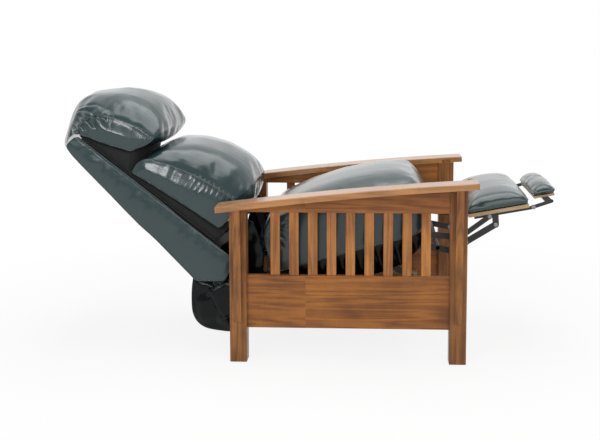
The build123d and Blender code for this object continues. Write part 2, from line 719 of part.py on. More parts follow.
def make_seat_cushion():
    body = cushion(
        SEAT_MIDDLE_shares, SEAT_EDGE_shares, SEAT_LENGTH, SEAT_HEIGHT,
        (SEAT_REAR, 0), seat_at, SEAT_HALF_WIDTH,
    )
    reach = SEAT_RAIL_OUTER + SKIRT_THICKNESS + SOFT_GAP
    top = SEAT_RAIL_HEIGHT + SPRING_WIRE + SOFT_GAP
    rear, front = SEAT_RAIL_REAR - SOFT_GAP, SEAT_RAIL_FRONT + SOFT_GAP
    return body - across(seat_box(rear, front, -SEAT_RAIL_HEIGHT, top), reach)


def make_skirts():
    outline = polygon(
        seat_at(SKIRT_REAR, -SKIRT_REAR_DROP), seat_at(SKIRT_FRONT, -SKIRT_FRONT_DROP),
        seat_at(SKIRT_FRONT, SKIRT_LAP), seat_at(SKIRT_REAR, SKIRT_LAP),
    )
    return both(outline, SEAT_RAIL_OUTER, SEAT_RAIL_OUTER + SKIRT_THICKNESS)


# Footrest

def foot_box(x0, x1, z0, z1):
    return polygon(foot_at(x0, z0), foot_at(x1, z0), foot_at(x1, z1), foot_at(x0, z1))


def make_footrest_board():
    outline = foot_box(FOOT_BOARD_INSET, FOOTREST_LENGTH - FOOT_BOARD_INSET, 0, FOOTREST_BOARD)
    return across(outline, FOOTREST_HALF_WIDTH - FOOT_BOARD_INSET)


def make_footrest_pad():
    return cushion(
        FOOTREST_MIDDLE_shares, FOOTREST_EDGE_shares, FOOTREST_LENGTH, FOOTREST_CROWN,
        (0, FOOTREST_BOARD + SOFT_GAP), foot_at, FOOTREST_HALF_WIDTH,
    )


def flap_hinge():
    return foot_at(*FLAP_HINGE)


def make_footrest_bracket(side):
    """An angle under the board: the web holds the two lower pivots and the hinge of the flap."""
    inner, outer = layer(UPPER_LIFT_LAYER)
    depth = 2 * HINGE_RADIUS
    rear, front = FOOT_BOARD_INSET + FOOT_FLANGE_WIDTH, FOOTREST_LENGTH - FOOT_BOARD_INSET
    web = foot_box(rear, front, -depth, 0)
    web += bar(foot_at(front - depth, -HINGE_RADIUS), flap_hinge(), HINGE_RADIUS)
    hub = foot_at(FOOTREST_LENGTH / 2 - depth, -HINGE_RADIUS)
    web += bar(hub, FOOTREST_PIVOT, LINK_RADIUS)
    web += disc(GUIDE_FOOTREST, LINK_RADIUS)
    web -= foot_box(-FOOTREST_LENGTH, 2 * FOOTREST_LENGTH, 0, FOOTREST_LENGTH)
    for hole in holes([GUIDE_FOOTREST, flap_hinge(), FOOTREST_PIVOT]):
        web -= hole
    bracket = plate(web, inner, outer, side)
    flange = foot_box(rear, front - FOOT_BOARD_INSET, -STEEL, 0)
    flange -= disc(GUIDE_FOOTREST, RIVET_HEAD_RADIUS + 2 * SOFT_GAP)
    return bracket + plate(flange, inner - FOOT_FLANGE_WIDTH, outer, side)


def flap_front():
    return FOOTREST_LENGTH + FLAP_GAP + FLAP_LENGTH


def make_flap_bracket(side):
    """An arm from the hinge to the flap, with a flange turned in under the flap board."""
    inner, outer = layer(SEAT_LAYER)
    top = FLAP_BOARD_BOTTOM
    front = flap_front() - FLAP_GAP
    tip = foot_at(front - HINGE_RADIUS, top - HINGE_RADIUS)
    web = link([flap_hinge(), tip], HINGE_RADIUS, [flap_hinge()])
    web -= foot_box(0, 2 * front, top, 2 * front)
    arm = plate(web, inner, outer, side)
    flange = foot_box(front - HINGE_RADIUS - FLAP_GAP, front - HINGE_RADIUS, top - STEEL, top)
    return arm + plate(flange, inner - FLAP_FLANGE_REACH, outer, side)


def make_flap_board():
    rear = FOOTREST_LENGTH + FLAP_GAP + FOOT_BOARD_INSET
    front = flap_front() - 2 * FOOT_BOARD_INSET
    outline = foot_box(rear, front, FLAP_BOARD_BOTTOM, FLAP_BOARD_BOTTOM + FLAP_BOARD)
    return across(outline, FLAP_HALF_WIDTH - FOOT_BOARD_INSET)


def make_flap_pad():
    low = FLAP_BOARD_BOTTOM + FLAP_BOARD + SOFT_GAP
    return cushion(
        FLAP_MIDDLE_shares, FLAP_EDGE_shares, FLAP_LENGTH, FLAP_CROWN,
        (FOOTREST_LENGTH + FLAP_GAP, low), foot_at, FLAP_HALF_WIDTH,
    )


# Back

def back_box(x0, x1, z0, z1):
    return polygon(back_at(x0, z0), back_at(x1, z0), back_at(x1, z1), back_at(x0, z1))


def make_wing(side):
    """A padded side panel that narrows from its toe beside the seat to the top of the back."""
    toe = -WING_TOE_DROP
    corners = [
        (0, 0), (WING_FOOT / 2, toe), (WING_FOOT, toe * WING_HEEL_share), (WING_FOOT, -STEEL),
        (WING_TOP, WING_LENGTH), (0, WING_LENGTH),
    ]
    wing = plate(polygon(*[back_at(x, z) for x, z in corners]), WING_INNER, BACK_HALF_WIDTH, side)
    face = wing.faces().sort_by(Axis.Y)[0 if side == RIGHT else -1]
    return chamfer(face.edges(), WING_CORNER)


def make_stiles():
    outline = back_box(BACK_PANEL, BACK_PANEL + STILE_DEPTH, STILE_FOOT, STILE_TOP)
    inner = layer(UPPER_LIFT_LAYER)[0]
    return both(outline, inner - STILE_WIDTH, inner)


def make_back_rail(z):
    half = layer(UPPER_LIFT_LAYER)[0] - STILE_WIDTH
    outline = back_box(BACK_PANEL, BACK_PANEL + STILE_DEPTH, z, z + BACK_RAIL_HEIGHT)
    return across(outline, half)


def make_back_panel():
    return across(back_box(0, BACK_PANEL, 0, STILE_TOP), WING_INNER - SOFT_GAP)


def webbing_face():
    return BACK_PANEL + STILE_DEPTH


def make_webbing():
    half = layer(UPPER_LIFT_LAYER)[0]
    first = STILE_FOOT + BACK_RAIL_HEIGHT
    pitch = (STILE_TOP - STILE_FOOT - 2 * BACK_RAIL_HEIGHT) / WEBBING_COUNT
    straps = []
    for number in range(WEBBING_COUNT):
        z = first + number * pitch + (pitch - WEBBING_WIDTH) / 2
        outline = back_box(webbing_face(), webbing_face() + WEBBING_THICKNESS, z, z + WEBBING_WIDTH)
        straps.append(across(outline, half))
    return straps


def lumbar_point(share):
    return LUMBAR_ORIGIN[0] + share[0] * LUMBAR_DEPTH, LUMBAR_ORIGIN[1] + share[1] * LUMBAR_LENGTH


def pillow_point(share):
    return PILLOW_ORIGIN[0] + share[0] * PILLOW_DEPTH, PILLOW_ORIGIN[1] + share[1] * PILLOW_LENGTH


def wing_front(z):
    return WING_FOOT + (WING_TOP - WING_FOOT) * z / WING_LENGTH


def make_lining():
    """The black padded panel that the cushions lie on; between the wings it reaches the webbing."""
    gap = 2 * SOFT_GAP
    foot = LUMBAR_ORIGIN[1] - LINING_INSET
    rear = webbing_face() + WEBBING_THICKNESS + gap
    lumbar_low = lumbar_point(LUMBAR_MIDDLE_shares[0])
    lumbar_mid = lumbar_point(LUMBAR_MIDDLE_shares[1])
    lumbar_top = lumbar_point(LUMBAR_MIDDLE_shares[2])
    pillow_tip = pillow_point(PILLOW_MIDDLE_shares[2])
    pillow_mid = pillow_point(PILLOW_MIDDLE_shares[1])
    pillow_low = pillow_point(PILLOW_MIDDLE_shares[0])
    top = pillow_low[1] - gap
    seam = [
        (lumbar_low[0] - gap, foot), (lumbar_low[0] - gap, lumbar_low[1]),
        (lumbar_mid[0] - gap, lumbar_mid[1]), (lumbar_top[0] - gap, lumbar_top[1]),
        (pillow_tip[0] - 3 * gap, pillow_tip[1] - gap),
        (pillow_mid[0] - 3 * gap, pillow_mid[1]), (pillow_low[0] - gap, top),
    ]
    outside = [(wing_front(foot) + gap, foot), *seam, (wing_front(top) + gap, top)]
    inside = [(rear, foot), *seam, (rear, top)]
    lining = across(polygon(*[back_at(x, z) for x, z in outside]), CUSHION_HALF_WIDTH - LINING_INSET)
    lining += across(polygon(*[back_at(x, z) for x, z in inside]), layer(UPPER_LIFT_LAYER)[0] - SOFT_GAP)
    inner, outer = layer(UPPER_LIFT_LAYER)
    slot = bracket_arm(BASE_LOBE_RADIUS + gap)
    for piece in both(slot, inner - 2 * SOFT_GAP, outer + 2 * SOFT_GAP):
        lining -= piece
    return lining


def make_lumbar():
    return cushion(
        LUMBAR_MIDDLE_shares, LUMBAR_EDGE_shares, LUMBAR_DEPTH, LUMBAR_LENGTH,
        LUMBAR_ORIGIN, back_at, CUSHION_HALF_WIDTH,
    )


def make_pillow():
    return cushion(
        PILLOW_MIDDLE_shares, PILLOW_EDGE_shares, PILLOW_DEPTH, PILLOW_LENGTH,
        PILLOW_ORIGIN, back_at, CUSHION_HALF_WIDTH,
    )


def bracket_arm(radius):
    start = back_at(webbing_face() - 2 * HINGE_RADIUS, BACK_RAIL_HEIGHT)
    return bar(start, BACK_PIVOT, radius)


def make_back_brackets():
    """A flat arm screwed to the outer face of each stile, reaching forward to the back pivot."""
    x0 = BACK_PANEL + HINGE_RADIUS
    x1 = webbing_face() - HINGE_RADIUS
    outline = back_box(x0, x1, STILE_FOOT, STILE_FOOT + 2 * BACK_RAIL_HEIGHT)
    outline += bracket_arm(BASE_LOBE_RADIUS)
    for hole in holes([BACK_PIVOT]):
        outline -= hole
    return both(outline, *layer(UPPER_LIFT_LAYER))


def make_curtain():
    """A leather sling that hangs from the foot of the back and tucks in behind the rear rail."""
    rail_rear = REAR_POST_X - RAIL_THICKNESS / 2
    behind = -CURTAIN_THICKNESS / 2 - SOFT_GAP / 2
    points = [back_at(behind, CURTAIN_LAP), back_at(behind, 0)]
    for share_x, share_z in CURTAIN_shares:
        x = rail_rear - SOFT_GAP - CURTAIN_THICKNESS - CURTAIN_DEPTH * (1 - share_x)
        points.append((x, CURTAIN_BOTTOM + share_z * CURTAIN_HEIGHT))
    bends = [CURTAIN_BEND_RADIUS for share in CURTAIN_shares[1:-1]]
    radii = [CURTAIN_FOLD_RADIUS, *bends, CURTAIN_FOLD_RADIUS]
    path = FilletPolyline(*points, radius=radii)
    outline = make_face(offset(path, amount=CURTAIN_THICKNESS / 2).edges())
    return across(outline, WING_INNER + WING_THICKNESS / 2)


# Nodes: each name holds one piece, or a group of like pieces

nodes = {}

for name, side in SIDES:
    slats = [slat(x, side, SLAT_WIDTH) for x in slat_centres()]
    bottom_tongues = rail_tenons(side, BOTTOM_RAIL_BOTTOM, BOTTOM_RAIL_TOP, TENON_LENGTH)
    rear_post = make_post(REAR_POST_X, side, bottom_tongues + rear_rail_tongues())
    front_post = make_post(FRONT_POST_X, side, bottom_tongues)
    nodes[name + "_rear_post"] = rear_post
    nodes[name + "_front_post"] = front_post
    nodes[name + "_arm"] = make_arm(side)
    nodes[name + "_bottom_rail"] = make_bottom_rail(side, slats)
    nodes[name + "_top_rail"] = make_top_rail(side, slats)
    nodes[name + "_slats"] = slats
    nodes[name + "_base_plate"] = make_base_plate(side)
    nodes[name + "_seat_plate"] = plate(seat_plate_outline(), *layer(SEAT_LAYER), side)
    nodes[name + "_wing"] = make_wing(side)

nodes["corbels"] = [make_corbel(x, side) for x in (REAR_POST_X, FRONT_POST_X) for name, side in SIDES]
nodes["leg_glides"] = [make_glide(x, side) for x in (REAR_POST_X, FRONT_POST_X) for name, side in SIDES]
nodes["rear_rail"] = make_rear_rail()
nodes["mounting_cleats"] = [make_cleat(side) for name, side in SIDES]
nodes["front_cross_bar"] = make_cross_bar(FRONT_BAR_X)
nodes["rear_cross_bar"] = make_cross_bar(REAR_BAR_X)
nodes["base_rivets"] = rivets(
    (FRONT_SWING_BASE, BASE_LAYER, SWING_LAYER), (REAR_SWING_BASE, BASE_LAYER, SWING_LAYER),
)

nodes["front_swing_links"] = make_front_swing()
nodes["rear_swing_links"] = make_rear_swing()
nodes["upper_lift_links"] = make_upper_lift()
nodes["lower_lift_links"] = make_lower_lift()
nodes["link_cross_tube"] = make_cross_tube()
nodes["carrier_links"] = make_carrier()
nodes["guide_links"] = make_guide()
nodes["upper_lift_rivets"] = rivets(
    (UPPER_LIFT_CARRIER, SEAT_LAYER, UPPER_LIFT_LAYER), (UPPER_LIFT_GUIDE, UPPER_LIFT_LAYER, GUIDE_LAYER),
)
nodes["carrier_rivets"] = rivets(
    (LOWER_LIFT_CARRIER, LOWER_LIFT_LAYER, SEAT_LAYER), (FOOTREST_PIVOT, SEAT_LAYER, UPPER_LIFT_LAYER),
)

nodes["seat_side_rails"] = make_seat_side_rails()
nodes["seat_front_rail"] = make_seat_rail(seat_front_rail_rear())
nodes["seat_rear_rail"] = make_seat_rail(SEAT_RAIL_REAR)
nodes["seat_springs"] = [make_spring(y) for y in spring_places()]
nodes["seat_cushion"] = make_seat_cushion()
nodes["seat_skirts"] = make_skirts()
nodes["seat_rivets"] = rivets(
    (FRONT_SWING_SEAT, SWING_LAYER, SEAT_LAYER), (REAR_SWING_SEAT, SWING_LAYER, SEAT_LAYER),
    (LOWER_LIFT_SEAT, LOWER_LIFT_LAYER, SEAT_LAYER), (UPPER_LIFT_SEAT, SEAT_LAYER, UPPER_LIFT_LAYER),
    (BACK_PIVOT, SEAT_LAYER, UPPER_LIFT_LAYER),
)

nodes["footrest_board"] = make_footrest_board()
nodes["footrest_pad"] = make_footrest_pad()
nodes["footrest_brackets"] = [make_footrest_bracket(side) for name, side in SIDES]
nodes["footrest_rivets"] = rivets(
    (GUIDE_FOOTREST, UPPER_LIFT_LAYER, GUIDE_LAYER), (flap_hinge(), SEAT_LAYER, UPPER_LIFT_LAYER),
)
nodes["flap_brackets"] = [make_flap_bracket(side) for name, side in SIDES]
nodes["flap_board"] = make_flap_board()
nodes["flap_pad"] = make_flap_pad()

nodes["back_stiles"] = make_stiles()
nodes["back_top_rail"] = make_back_rail(STILE_TOP - BACK_RAIL_HEIGHT)
nodes["back_bottom_rail"] = make_back_rail(STILE_FOOT)
nodes["outside_back_panel"] = make_back_panel()
nodes["back_webbing"] = make_webbing()
nodes["back_lining"] = make_lining()
nodes["lumbar_cushion"] = make_lumbar()
nodes["head_pillow"] = make_pillow()
nodes["back_brackets"] = make_back_brackets()
nodes["rear_curtain"] = make_curtain()

# The chair is centred front to back, and each node is written
groups = {name: shape if isinstance(shape, list) else [shape] for name, shape in nodes.items()}
boxes = [piece.bounding_box() for pieces in groups.values() for piece in pieces]
SHIFT_X = -(min(box.min.X for box in boxes) + max(box.max.X for box in boxes)) / 2

os.makedirs("parts", exist_ok=True)
for name, pieces in groups.items():
    moved = [Pos(SHIFT_X, 0, 0) * piece for piece in pieces]
    export_step(moved[0] if len(moved) == 1 else Compound(children=moved), "parts/" + name + ".step")
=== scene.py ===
# %% [markdown]
# # A mission reclining armchair
# The chair in the photograph has a slatted oak frame, leather cushions and a folding footrest on a black
# steel linkage. The hard parts come from the CAD model as a fixed frame. This lesson dresses them: it stuffs
# the cushions, runs the piping, hangs the black leather behind, and gives every piece its own finish.

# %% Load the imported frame
import math
from functools import partial
import bmesh
import bpy
import numpy as np
from mathutils import Matrix, Vector, noise
from mathutils.bvhtree import BVHTree
from mathutils.geometry import delaunay_2d_cdt


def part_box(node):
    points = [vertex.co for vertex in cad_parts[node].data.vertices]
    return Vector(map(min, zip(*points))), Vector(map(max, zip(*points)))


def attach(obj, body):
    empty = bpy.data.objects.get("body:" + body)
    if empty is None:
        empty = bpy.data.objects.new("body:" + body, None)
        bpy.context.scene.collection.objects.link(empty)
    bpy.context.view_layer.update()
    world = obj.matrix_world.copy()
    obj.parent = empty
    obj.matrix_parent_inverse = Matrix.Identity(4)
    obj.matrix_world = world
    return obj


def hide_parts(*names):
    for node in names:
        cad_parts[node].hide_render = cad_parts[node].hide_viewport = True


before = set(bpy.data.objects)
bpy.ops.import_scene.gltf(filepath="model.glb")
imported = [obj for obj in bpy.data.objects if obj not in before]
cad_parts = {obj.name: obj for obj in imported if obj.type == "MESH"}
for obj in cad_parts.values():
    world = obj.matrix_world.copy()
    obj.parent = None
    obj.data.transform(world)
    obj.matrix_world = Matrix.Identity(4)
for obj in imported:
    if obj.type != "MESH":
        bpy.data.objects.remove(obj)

scene = bpy.context.scene
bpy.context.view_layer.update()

# %% [markdown]
# ## Where things are
# The seat, the footrest and the back each lie on a slope. A matrix for each slope lets us think of a cushion
# as lying flat: first forward, then to the left, then up. The front posts tell us how far the CAD model was
# moved to stand over the origin, so no place here is guessed.

# %% Slopes of the upholstered parts
FRONT_POST_X = 0.375  # the middle of the front posts before that move
post_low, post_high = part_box("right_front_post")
SHIFT = (post_low.x + post_high.x) / 2 - FRONT_POST_X


def slope(x, z, degrees):
    return Matrix.Translation((x + SHIFT, 0, z)) @ Matrix.Rotation(-math.radians(degrees), 4, "Y")


SEAT = slope(-0.300, 0.281, 15.3)
FOOT = slope(0.412, 0.493, 10.4)
BACK = slope(-0.534, 0.262, 43.7)
print("moved forward by", round(SHIFT, 4))


def local(matrix, points):
    """Many points at once, seen in the flat frame of a slope."""
    inverse = np.array(matrix.inverted())
    return points @ inverse[:3, :3].T + inverse[:3, 3]


def placed(matrix, points):
    """Many points at once, taken from the flat frame of a slope into the chair."""
    full = np.array(matrix)
    return np.asarray(points, float) @ full[:3, :3].T + full[:3, 3]


# %% [markdown]
# ## The camera
# The photograph was taken from the sitter's right, 3.6 m away and a little above the arms. The posts, rails
# and slats gave the lens and the tilt. The picture is a crop, which a small shift of the lens repeats.

# %% Camera
YAW, PITCH, ROLL = -0.0365, 0.0966, 0.0019
PICTURE_WIDTH, FOCAL_LENGTH, CROP_X, CROP_Y = 600, 968, -40, -100  # all in pixels
SENSOR_WIDTH = 36
camera_data = bpy.data.cameras.new("camera")
camera_data.sensor_width = SENSOR_WIDTH
camera_data.lens = FOCAL_LENGTH * SENSOR_WIDTH / PICTURE_WIDTH
camera_data.shift_x = CROP_X / PICTURE_WIDTH
camera_data.shift_y = CROP_Y / PICTURE_WIDTH
camera = bpy.data.objects.new("camera", camera_data)
scene.collection.objects.link(camera)
turned = Matrix.Rotation(-YAW, 4, "Z") @ Matrix.Rotation(math.pi / 2 - PITCH, 4, "X")
turned = turned @ Matrix.Rotation(ROLL, 4, "Z")
camera.matrix_world = Matrix.Translation((0.0902 + SHIFT, -3.5587, 1.1522)) @ turned
scene.camera = camera
print("lens", round(camera_data.lens, 1), "mm")

# %% [markdown]
# ## Nodes without clutter
# Every finish below is a network of shader nodes. A few helpers keep the networks readable: one adds a node
# and wires what goes into it, others stand for the nodes used most, and two start and end a material.

# %% Helpers for node networks
def feed(tree, socket, value):
    """Wires an output into a socket, or sets a plain value on it. A colour comes without its alpha."""
    if isinstance(value, bpy.types.NodeSocket):
        tree.links.new(value, socket)
    elif socket.type == "RGBA":
        socket.default_value = (*value, 1)
    else:
        socket.default_value = value


def add(tree, kind, inputs=None, **settings):
    node = tree.nodes.new(kind)
    for name, value in settings.items():
        setattr(node, name, value)
    for name, value in (inputs or {}).items():
        feed(tree, node.inputs[name], value)
    return node


def calculate(tree, operation, *values, clamp=False):
    node = add(tree, "ShaderNodeMath", dict(enumerate(values)), operation=operation, use_clamp=clamp)
    return node.outputs[0]


def vector_math(tree, operation, *values):
    return add(tree, "ShaderNodeVectorMath", dict(enumerate(values)), operation=operation).outputs[0]


def texture(tree, vector, scale, detail, **more):
    """Smooth noise from 0 to 1."""
    inputs = {"Vector": vector, "Scale": scale, "Detail": detail, **more}
    return add(tree, "ShaderNodeTexNoise", inputs).outputs[0]


def ramp(tree, value, start, end, low=0.0, high=1.0):
    """Takes a value from the range start to end into the range low to high, and no further."""
    return add(tree, "ShaderNodeMapRange", {0: value, 1: start, 2: end, 3: low, 4: high}).outputs[0]


def mix_colours(tree, factor, first, second):
    return add(tree, "ShaderNodeMix", {0: factor, 6: first, 7: second}, data_type="RGBA").outputs[2]


# %% Start and end a finish
def start_material(name, **values):
    """A material with values for its Principled BSDF, and the coordinates to lay textures on."""
    material = bpy.data.materials.new(name)
    material.use_nodes = True
    tree = material.node_tree
    for key, value in values.items():
        tree.nodes["Principled BSDF"].inputs[key.replace("_", " ")].default_value = value
    return material, tree, add(tree, "ShaderNodeTexCoord").outputs["Object"]


def end_material(tree, colour, roughness, height, strength, distance):
    """Colour, roughness and bump go into the Principled BSDF."""
    bump = add(tree, "ShaderNodeBump", {"Height": height, "Strength": strength, "Distance": distance})
    shader = tree.nodes["Principled BSDF"]
    for name, value in (("Base Color", colour), ("Roughness", roughness), ("Normal", bump.outputs[0])):
        feed(tree, shader.inputs[name], value)


def start_tree(name, kind, inputs, outputs):
    """A tree with named sockets. An input is a name, a kind and, where it needs one, a starting value."""
    tree = bpy.data.node_groups.new(name, kind)
    for label, socket_kind, *value in inputs:
        socket = tree.interface.new_socket(label, in_out="INPUT", socket_type="NodeSocket" + socket_kind)
        if value:
            socket.default_value = value[0]
    for label, socket_kind in outputs:
        tree.interface.new_socket(label, in_out="OUTPUT", socket_type="NodeSocket" + socket_kind)
    return tree, tree.nodes.new("NodeGroupInput").outputs, tree.nodes.new("NodeGroupOutput").inputs


# %% [markdown]
# ## Oak
# Oak shows three things at once: broad wavy growth bands, fine fibres along the board, and short dark pores.
# One group makes all three from noise that is stretched along the grain, so that a rail, a post and a slat
# can each turn the grain their own way.

# %% Oak figure
oak_figure, entry, way_out = start_tree(
    "oak_figure", "ShaderNodeTree",
    [("Vector", "Vector"), ("Along", "Vector", (1, 0, 0)), ("Offset", "Float", 0.0)],
    [("Bands", "Float"), ("Fibre", "Float"), ("Pores", "Float")],
)


def stretched(along_scale, across_scale):
    """Coordinates squeezed along the grain: along is 1 on the grain's axis and 0 on the others."""
    less = add(oak_figure, "ShaderNodeVectorMath",
               {0: entry["Along"], "Scale": along_scale - across_scale}, operation="SCALE")
    scale = vector_math(oak_figure, "ADD", less.outputs[0], (across_scale,) * 3)
    shifted = vector_math(oak_figure, "ADD", entry["Vector"], entry["Offset"])
    return vector_math(oak_figure, "MULTIPLY", shifted, scale)


broad = texture(oak_figure, stretched(1.1, 19), 1.0, 2.0, Distortion=0.3)
waves = calculate(oak_figure, "SINE", calculate(oak_figure, "MULTIPLY", broad, 44.0))
bands = calculate(oak_figure, "MULTIPLY_ADD", waves, 0.5, 0.5)
fibre = texture(oak_figure, stretched(9, 520), 1.0, 4.0, Roughness=0.6)
pores = ramp(oak_figure, texture(oak_figure, stretched(55, 1300), 1.0, 1.0), 0.60, 0.72)
for label, value in (("Bands", bands), ("Fibre", fibre), ("Pores", pores)):
    oak_figure.links.new(value, way_out[label])
print("oak figure has", len(oak_figure.nodes), "nodes")


# %% [markdown]
# ## Three oak finishes
# The lacquer is a warm brown, darker in the pores and a little different from board to board. The slats and
# posts stand upright, so their grain runs up; the rails and arms run forward. A cell number made from the
# place of a slat gives each one its own tone.

# %% Oak materials
def oak(name, along, light, dark, pitch, spread=0.25, coat=0.25):
    """Oak with its grain along an axis. Each cell of the pitch, in metres, has its own tone."""
    material, tree, place = start_material(name, Coat_Weight=coat, Coat_Roughness=0.2, Coat_IOR=1.5,
                                           Specular_IOR_Level=0.3)
    cell = vector_math(tree, "SNAP", place, pitch)
    tone = add(tree, "ShaderNodeTexWhiteNoise", {"Vector": cell}, noise_dimensions="3D").outputs["Value"]
    shift = calculate(tree, "MULTIPLY", tone, 3.0)
    figure = add(tree, "ShaderNodeGroup", {"Vector": place, "Along": along, "Offset": shift},
                 node_tree=oak_figure).outputs
    level = calculate(tree, "MULTIPLY", figure["Bands"], 0.40)
    level = calculate(tree, "MULTIPLY_ADD", figure["Fibre"], 0.95, level)
    level = calculate(tree, "MULTIPLY_ADD", texture(tree, place, 7.0, 2.0), 1.20, level)
    level = calculate(tree, "MULTIPLY_ADD", tone, spread, level)
    level = calculate(tree, "SUBTRACT", level, 0.86 + spread / 2, clamp=True)
    colour = mix_colours(tree, level, dark, light)
    pore_depth = calculate(tree, "MULTIPLY", figure["Pores"], 0.45)
    colour = mix_colours(tree, pore_depth, colour, tuple(value * 0.45 for value in dark))
    rough = calculate(tree, "MULTIPLY_ADD", figure["Fibre"], 0.22, 0.36)
    height = calculate(tree, "MULTIPLY_ADD", figure["Pores"], -1.0, figure["Fibre"])
    end_material(tree, colour, rough, height, 0.35, 0.0004)
    return material


FORWARD, SIDEWAYS, UPWARD = (1, 0, 0), (0, 1, 0), (0, 0, 1)
OAK_LIGHT, OAK_DARK = (0.440, 0.158, 0.024), (0.145, 0.043, 0.006)
SLAT_PITCH = 0.0644
oak_rail = oak("oak_rail", FORWARD, OAK_LIGHT, OAK_DARK, (5, 0.5, 0.35))
oak_post = oak("oak_post", UPWARD, (0.400, 0.158, 0.034), (0.110, 0.036, 0.008), (0.7, 0.5, 5))
oak_slat = oak("oak_slat", UPWARD, (0.560, 0.225, 0.048), (0.220, 0.072, 0.014), (SLAT_PITCH, 0.5, 5),
               spread=0.24)
oak_arm = oak("oak_arm", FORWARD, (0.520, 0.235, 0.060), (0.260, 0.100, 0.024), (5, 0.5, 5), coat=1.0)
oak_cross = oak("oak_cross", SIDEWAYS, OAK_LIGHT, OAK_DARK, (5, 5, 5))
hardwood = oak("hardwood", FORWARD, (0.62, 0.45, 0.26), (0.42, 0.28, 0.15), (0.3, 0.3, 5))
print("oak finishes:", [m.name for m in (oak_rail, oak_post, oak_slat, oak_arm, oak_cross, hardwood)])

# %% [markdown]
# ## Leather
# The hide is a dark grey green with a smooth, waxy face. From the side it looks almost black green, and the
# tops turn pale because a smooth face mirrors a bright studio at a flat angle. A group makes the fine pebble
# of the hide and the soft, broad dents of stretched leather.

# %% Hide group
PEBBLES = 900.0  # how many fit in a metre
hide, entry, way_out = start_tree(
    "hide", "ShaderNodeTree",
    [("Vector", "Vector"), ("Pebble", "Float", PEBBLES), ("Creases", "Float", 0.4)],
    [("Height", "Float"), ("Tone", "Float")],
)
cells = add(hide, "ShaderNodeTexVoronoi", {"Vector": entry["Vector"], "Scale": entry["Pebble"]})
dents = texture(hide, entry["Vector"], 34.0, 3.0)
long_fold = texture(hide, entry["Vector"], 11.0, 4.0, Distortion=1.4)
crease = calculate(hide, "ABSOLUTE", calculate(hide, "SUBTRACT", long_fold, 0.5))
crease = calculate(hide, "MULTIPLY", ramp(hide, crease, 0.0, 0.035), entry["Creases"])
height = calculate(hide, "MULTIPLY_ADD", cells.outputs["Distance"], 0.30, crease)
height = calculate(hide, "MULTIPLY_ADD", dents, 1.4, height)
hide.links.new(height, way_out["Height"])
hide.links.new(texture(hide, entry["Vector"], 5.0, 3.0), way_out["Tone"])
print("hide group has", len(hide.nodes), "nodes")


# %% Leather materials
def leather(name, light, dark, roughness, creases, coat=0.3, specular=0.3):
    material, tree, place = start_material(name, Coat_Weight=coat, Coat_Roughness=0.18, Coat_IOR=1.5,
                                           Specular_IOR_Level=specular)
    skin = add(tree, "ShaderNodeGroup", {"Vector": place, "Pebble": PEBBLES, "Creases": creases},
               node_tree=hide).outputs
    rough = calculate(tree, "MULTIPLY_ADD", skin["Tone"], 0.16, roughness - 0.08)
    end_material(tree, mix_colours(tree, skin["Tone"], dark, light), rough, skin["Height"], 0.5, 0.0006)
    return material


green_leather = leather("green_leather", (0.017, 0.045, 0.047), (0.009, 0.027, 0.030), 0.30, 0.3, coat=0.85)
# The piping is the same leather as the cover, painted lighter: a painted highlight along the seams.
piping_leather_painted_highlight = leather("piping_leather_painted_highlight", (0.060, 0.085, 0.083), (0.036, 0.052, 0.052), 0.30, 0.0)
black_leather = leather("black_leather", (0.0030, 0.0046, 0.0052), (0.0012, 0.0020, 0.0022), 0.14, 0.7,
                        coat=0.26, specular=0.06)
print("leathers:", [m.name for m in (green_leather, piping_leather_painted_highlight, black_leather)])


# %% [markdown]
# ## Cloth, steel and plastic
# Behind the cushions lies a dull black platform cloth, and elastic webbing carries it. The linkage is black
# enamel over pressed steel, with the slight orange peel of dipped paint. Rivets and springs are bare zinc.

# %% Cloth, steel and plastic materials
def woven(name, light, dark, threads):
    material, tree, place = start_material(name, Sheen_Weight=0.15)
    bands = [add(tree, "ShaderNodeTexWave", {"Vector": place, "Scale": threads}, bands_direction=way)
             for way in ("DIAGONAL", "Y")]
    weave = calculate(tree, "MULTIPLY", *[band.outputs[1] for band in bands])
    lint = calculate(tree, "MULTIPLY", texture(tree, place, 40.0, 5.0), 0.5)
    colour = mix_colours(tree, calculate(tree, "MULTIPLY_ADD", weave, 0.5, lint), dark, light)
    end_material(tree, colour, 0.85, weave, 0.4, 0.0004)
    return material


def metal(name, light, dark, metallic, roughness):
    material, tree, place = start_material(name, Metallic=metallic)
    peel, rub = texture(tree, place, 260.0, 2.0), texture(tree, place, 30.0, 5.0)
    rough = calculate(tree, "MULTIPLY_ADD", rub, 0.25, roughness - 0.12)
    end_material(tree, mix_colours(tree, rub, dark, light), rough, peel, 0.25, 0.0003)
    return material


platform_cloth = woven("platform_cloth", (0.014, 0.016, 0.016), (0.006, 0.007, 0.007), 260)
webbing_cloth = woven("webbing_cloth", (0.10, 0.10, 0.10), (0.03, 0.03, 0.03), 160)
black_enamel = metal("black_enamel", (0.022, 0.022, 0.023), (0.010, 0.010, 0.011), 0.0, 0.38)
zinc = metal("zinc", (0.36, 0.36, 0.37), (0.20, 0.20, 0.21), 1.0, 0.38)
glide_plastic = metal("glide_plastic", (0.10, 0.08, 0.07), (0.05, 0.04, 0.035), 0.0, 0.5)
print("others:", [m.name for m in (platform_cloth, webbing_cloth, black_enamel, zinc, glide_plastic)])

# %% [markdown]
# ## Finishes for the pieces that come straight from CAD
# Posts, rails, slats, brackets and links already have their true shape, so they only get a finish. Each node
# is named once, beside its material.

# %% Finish the CAD nodes
SIDES = {"right": -1, "left": 1}


def both(*parts):
    """The names of the right and the left one of each part."""
    return [f"{side}_{part}" for part in parts for side in SIDES]


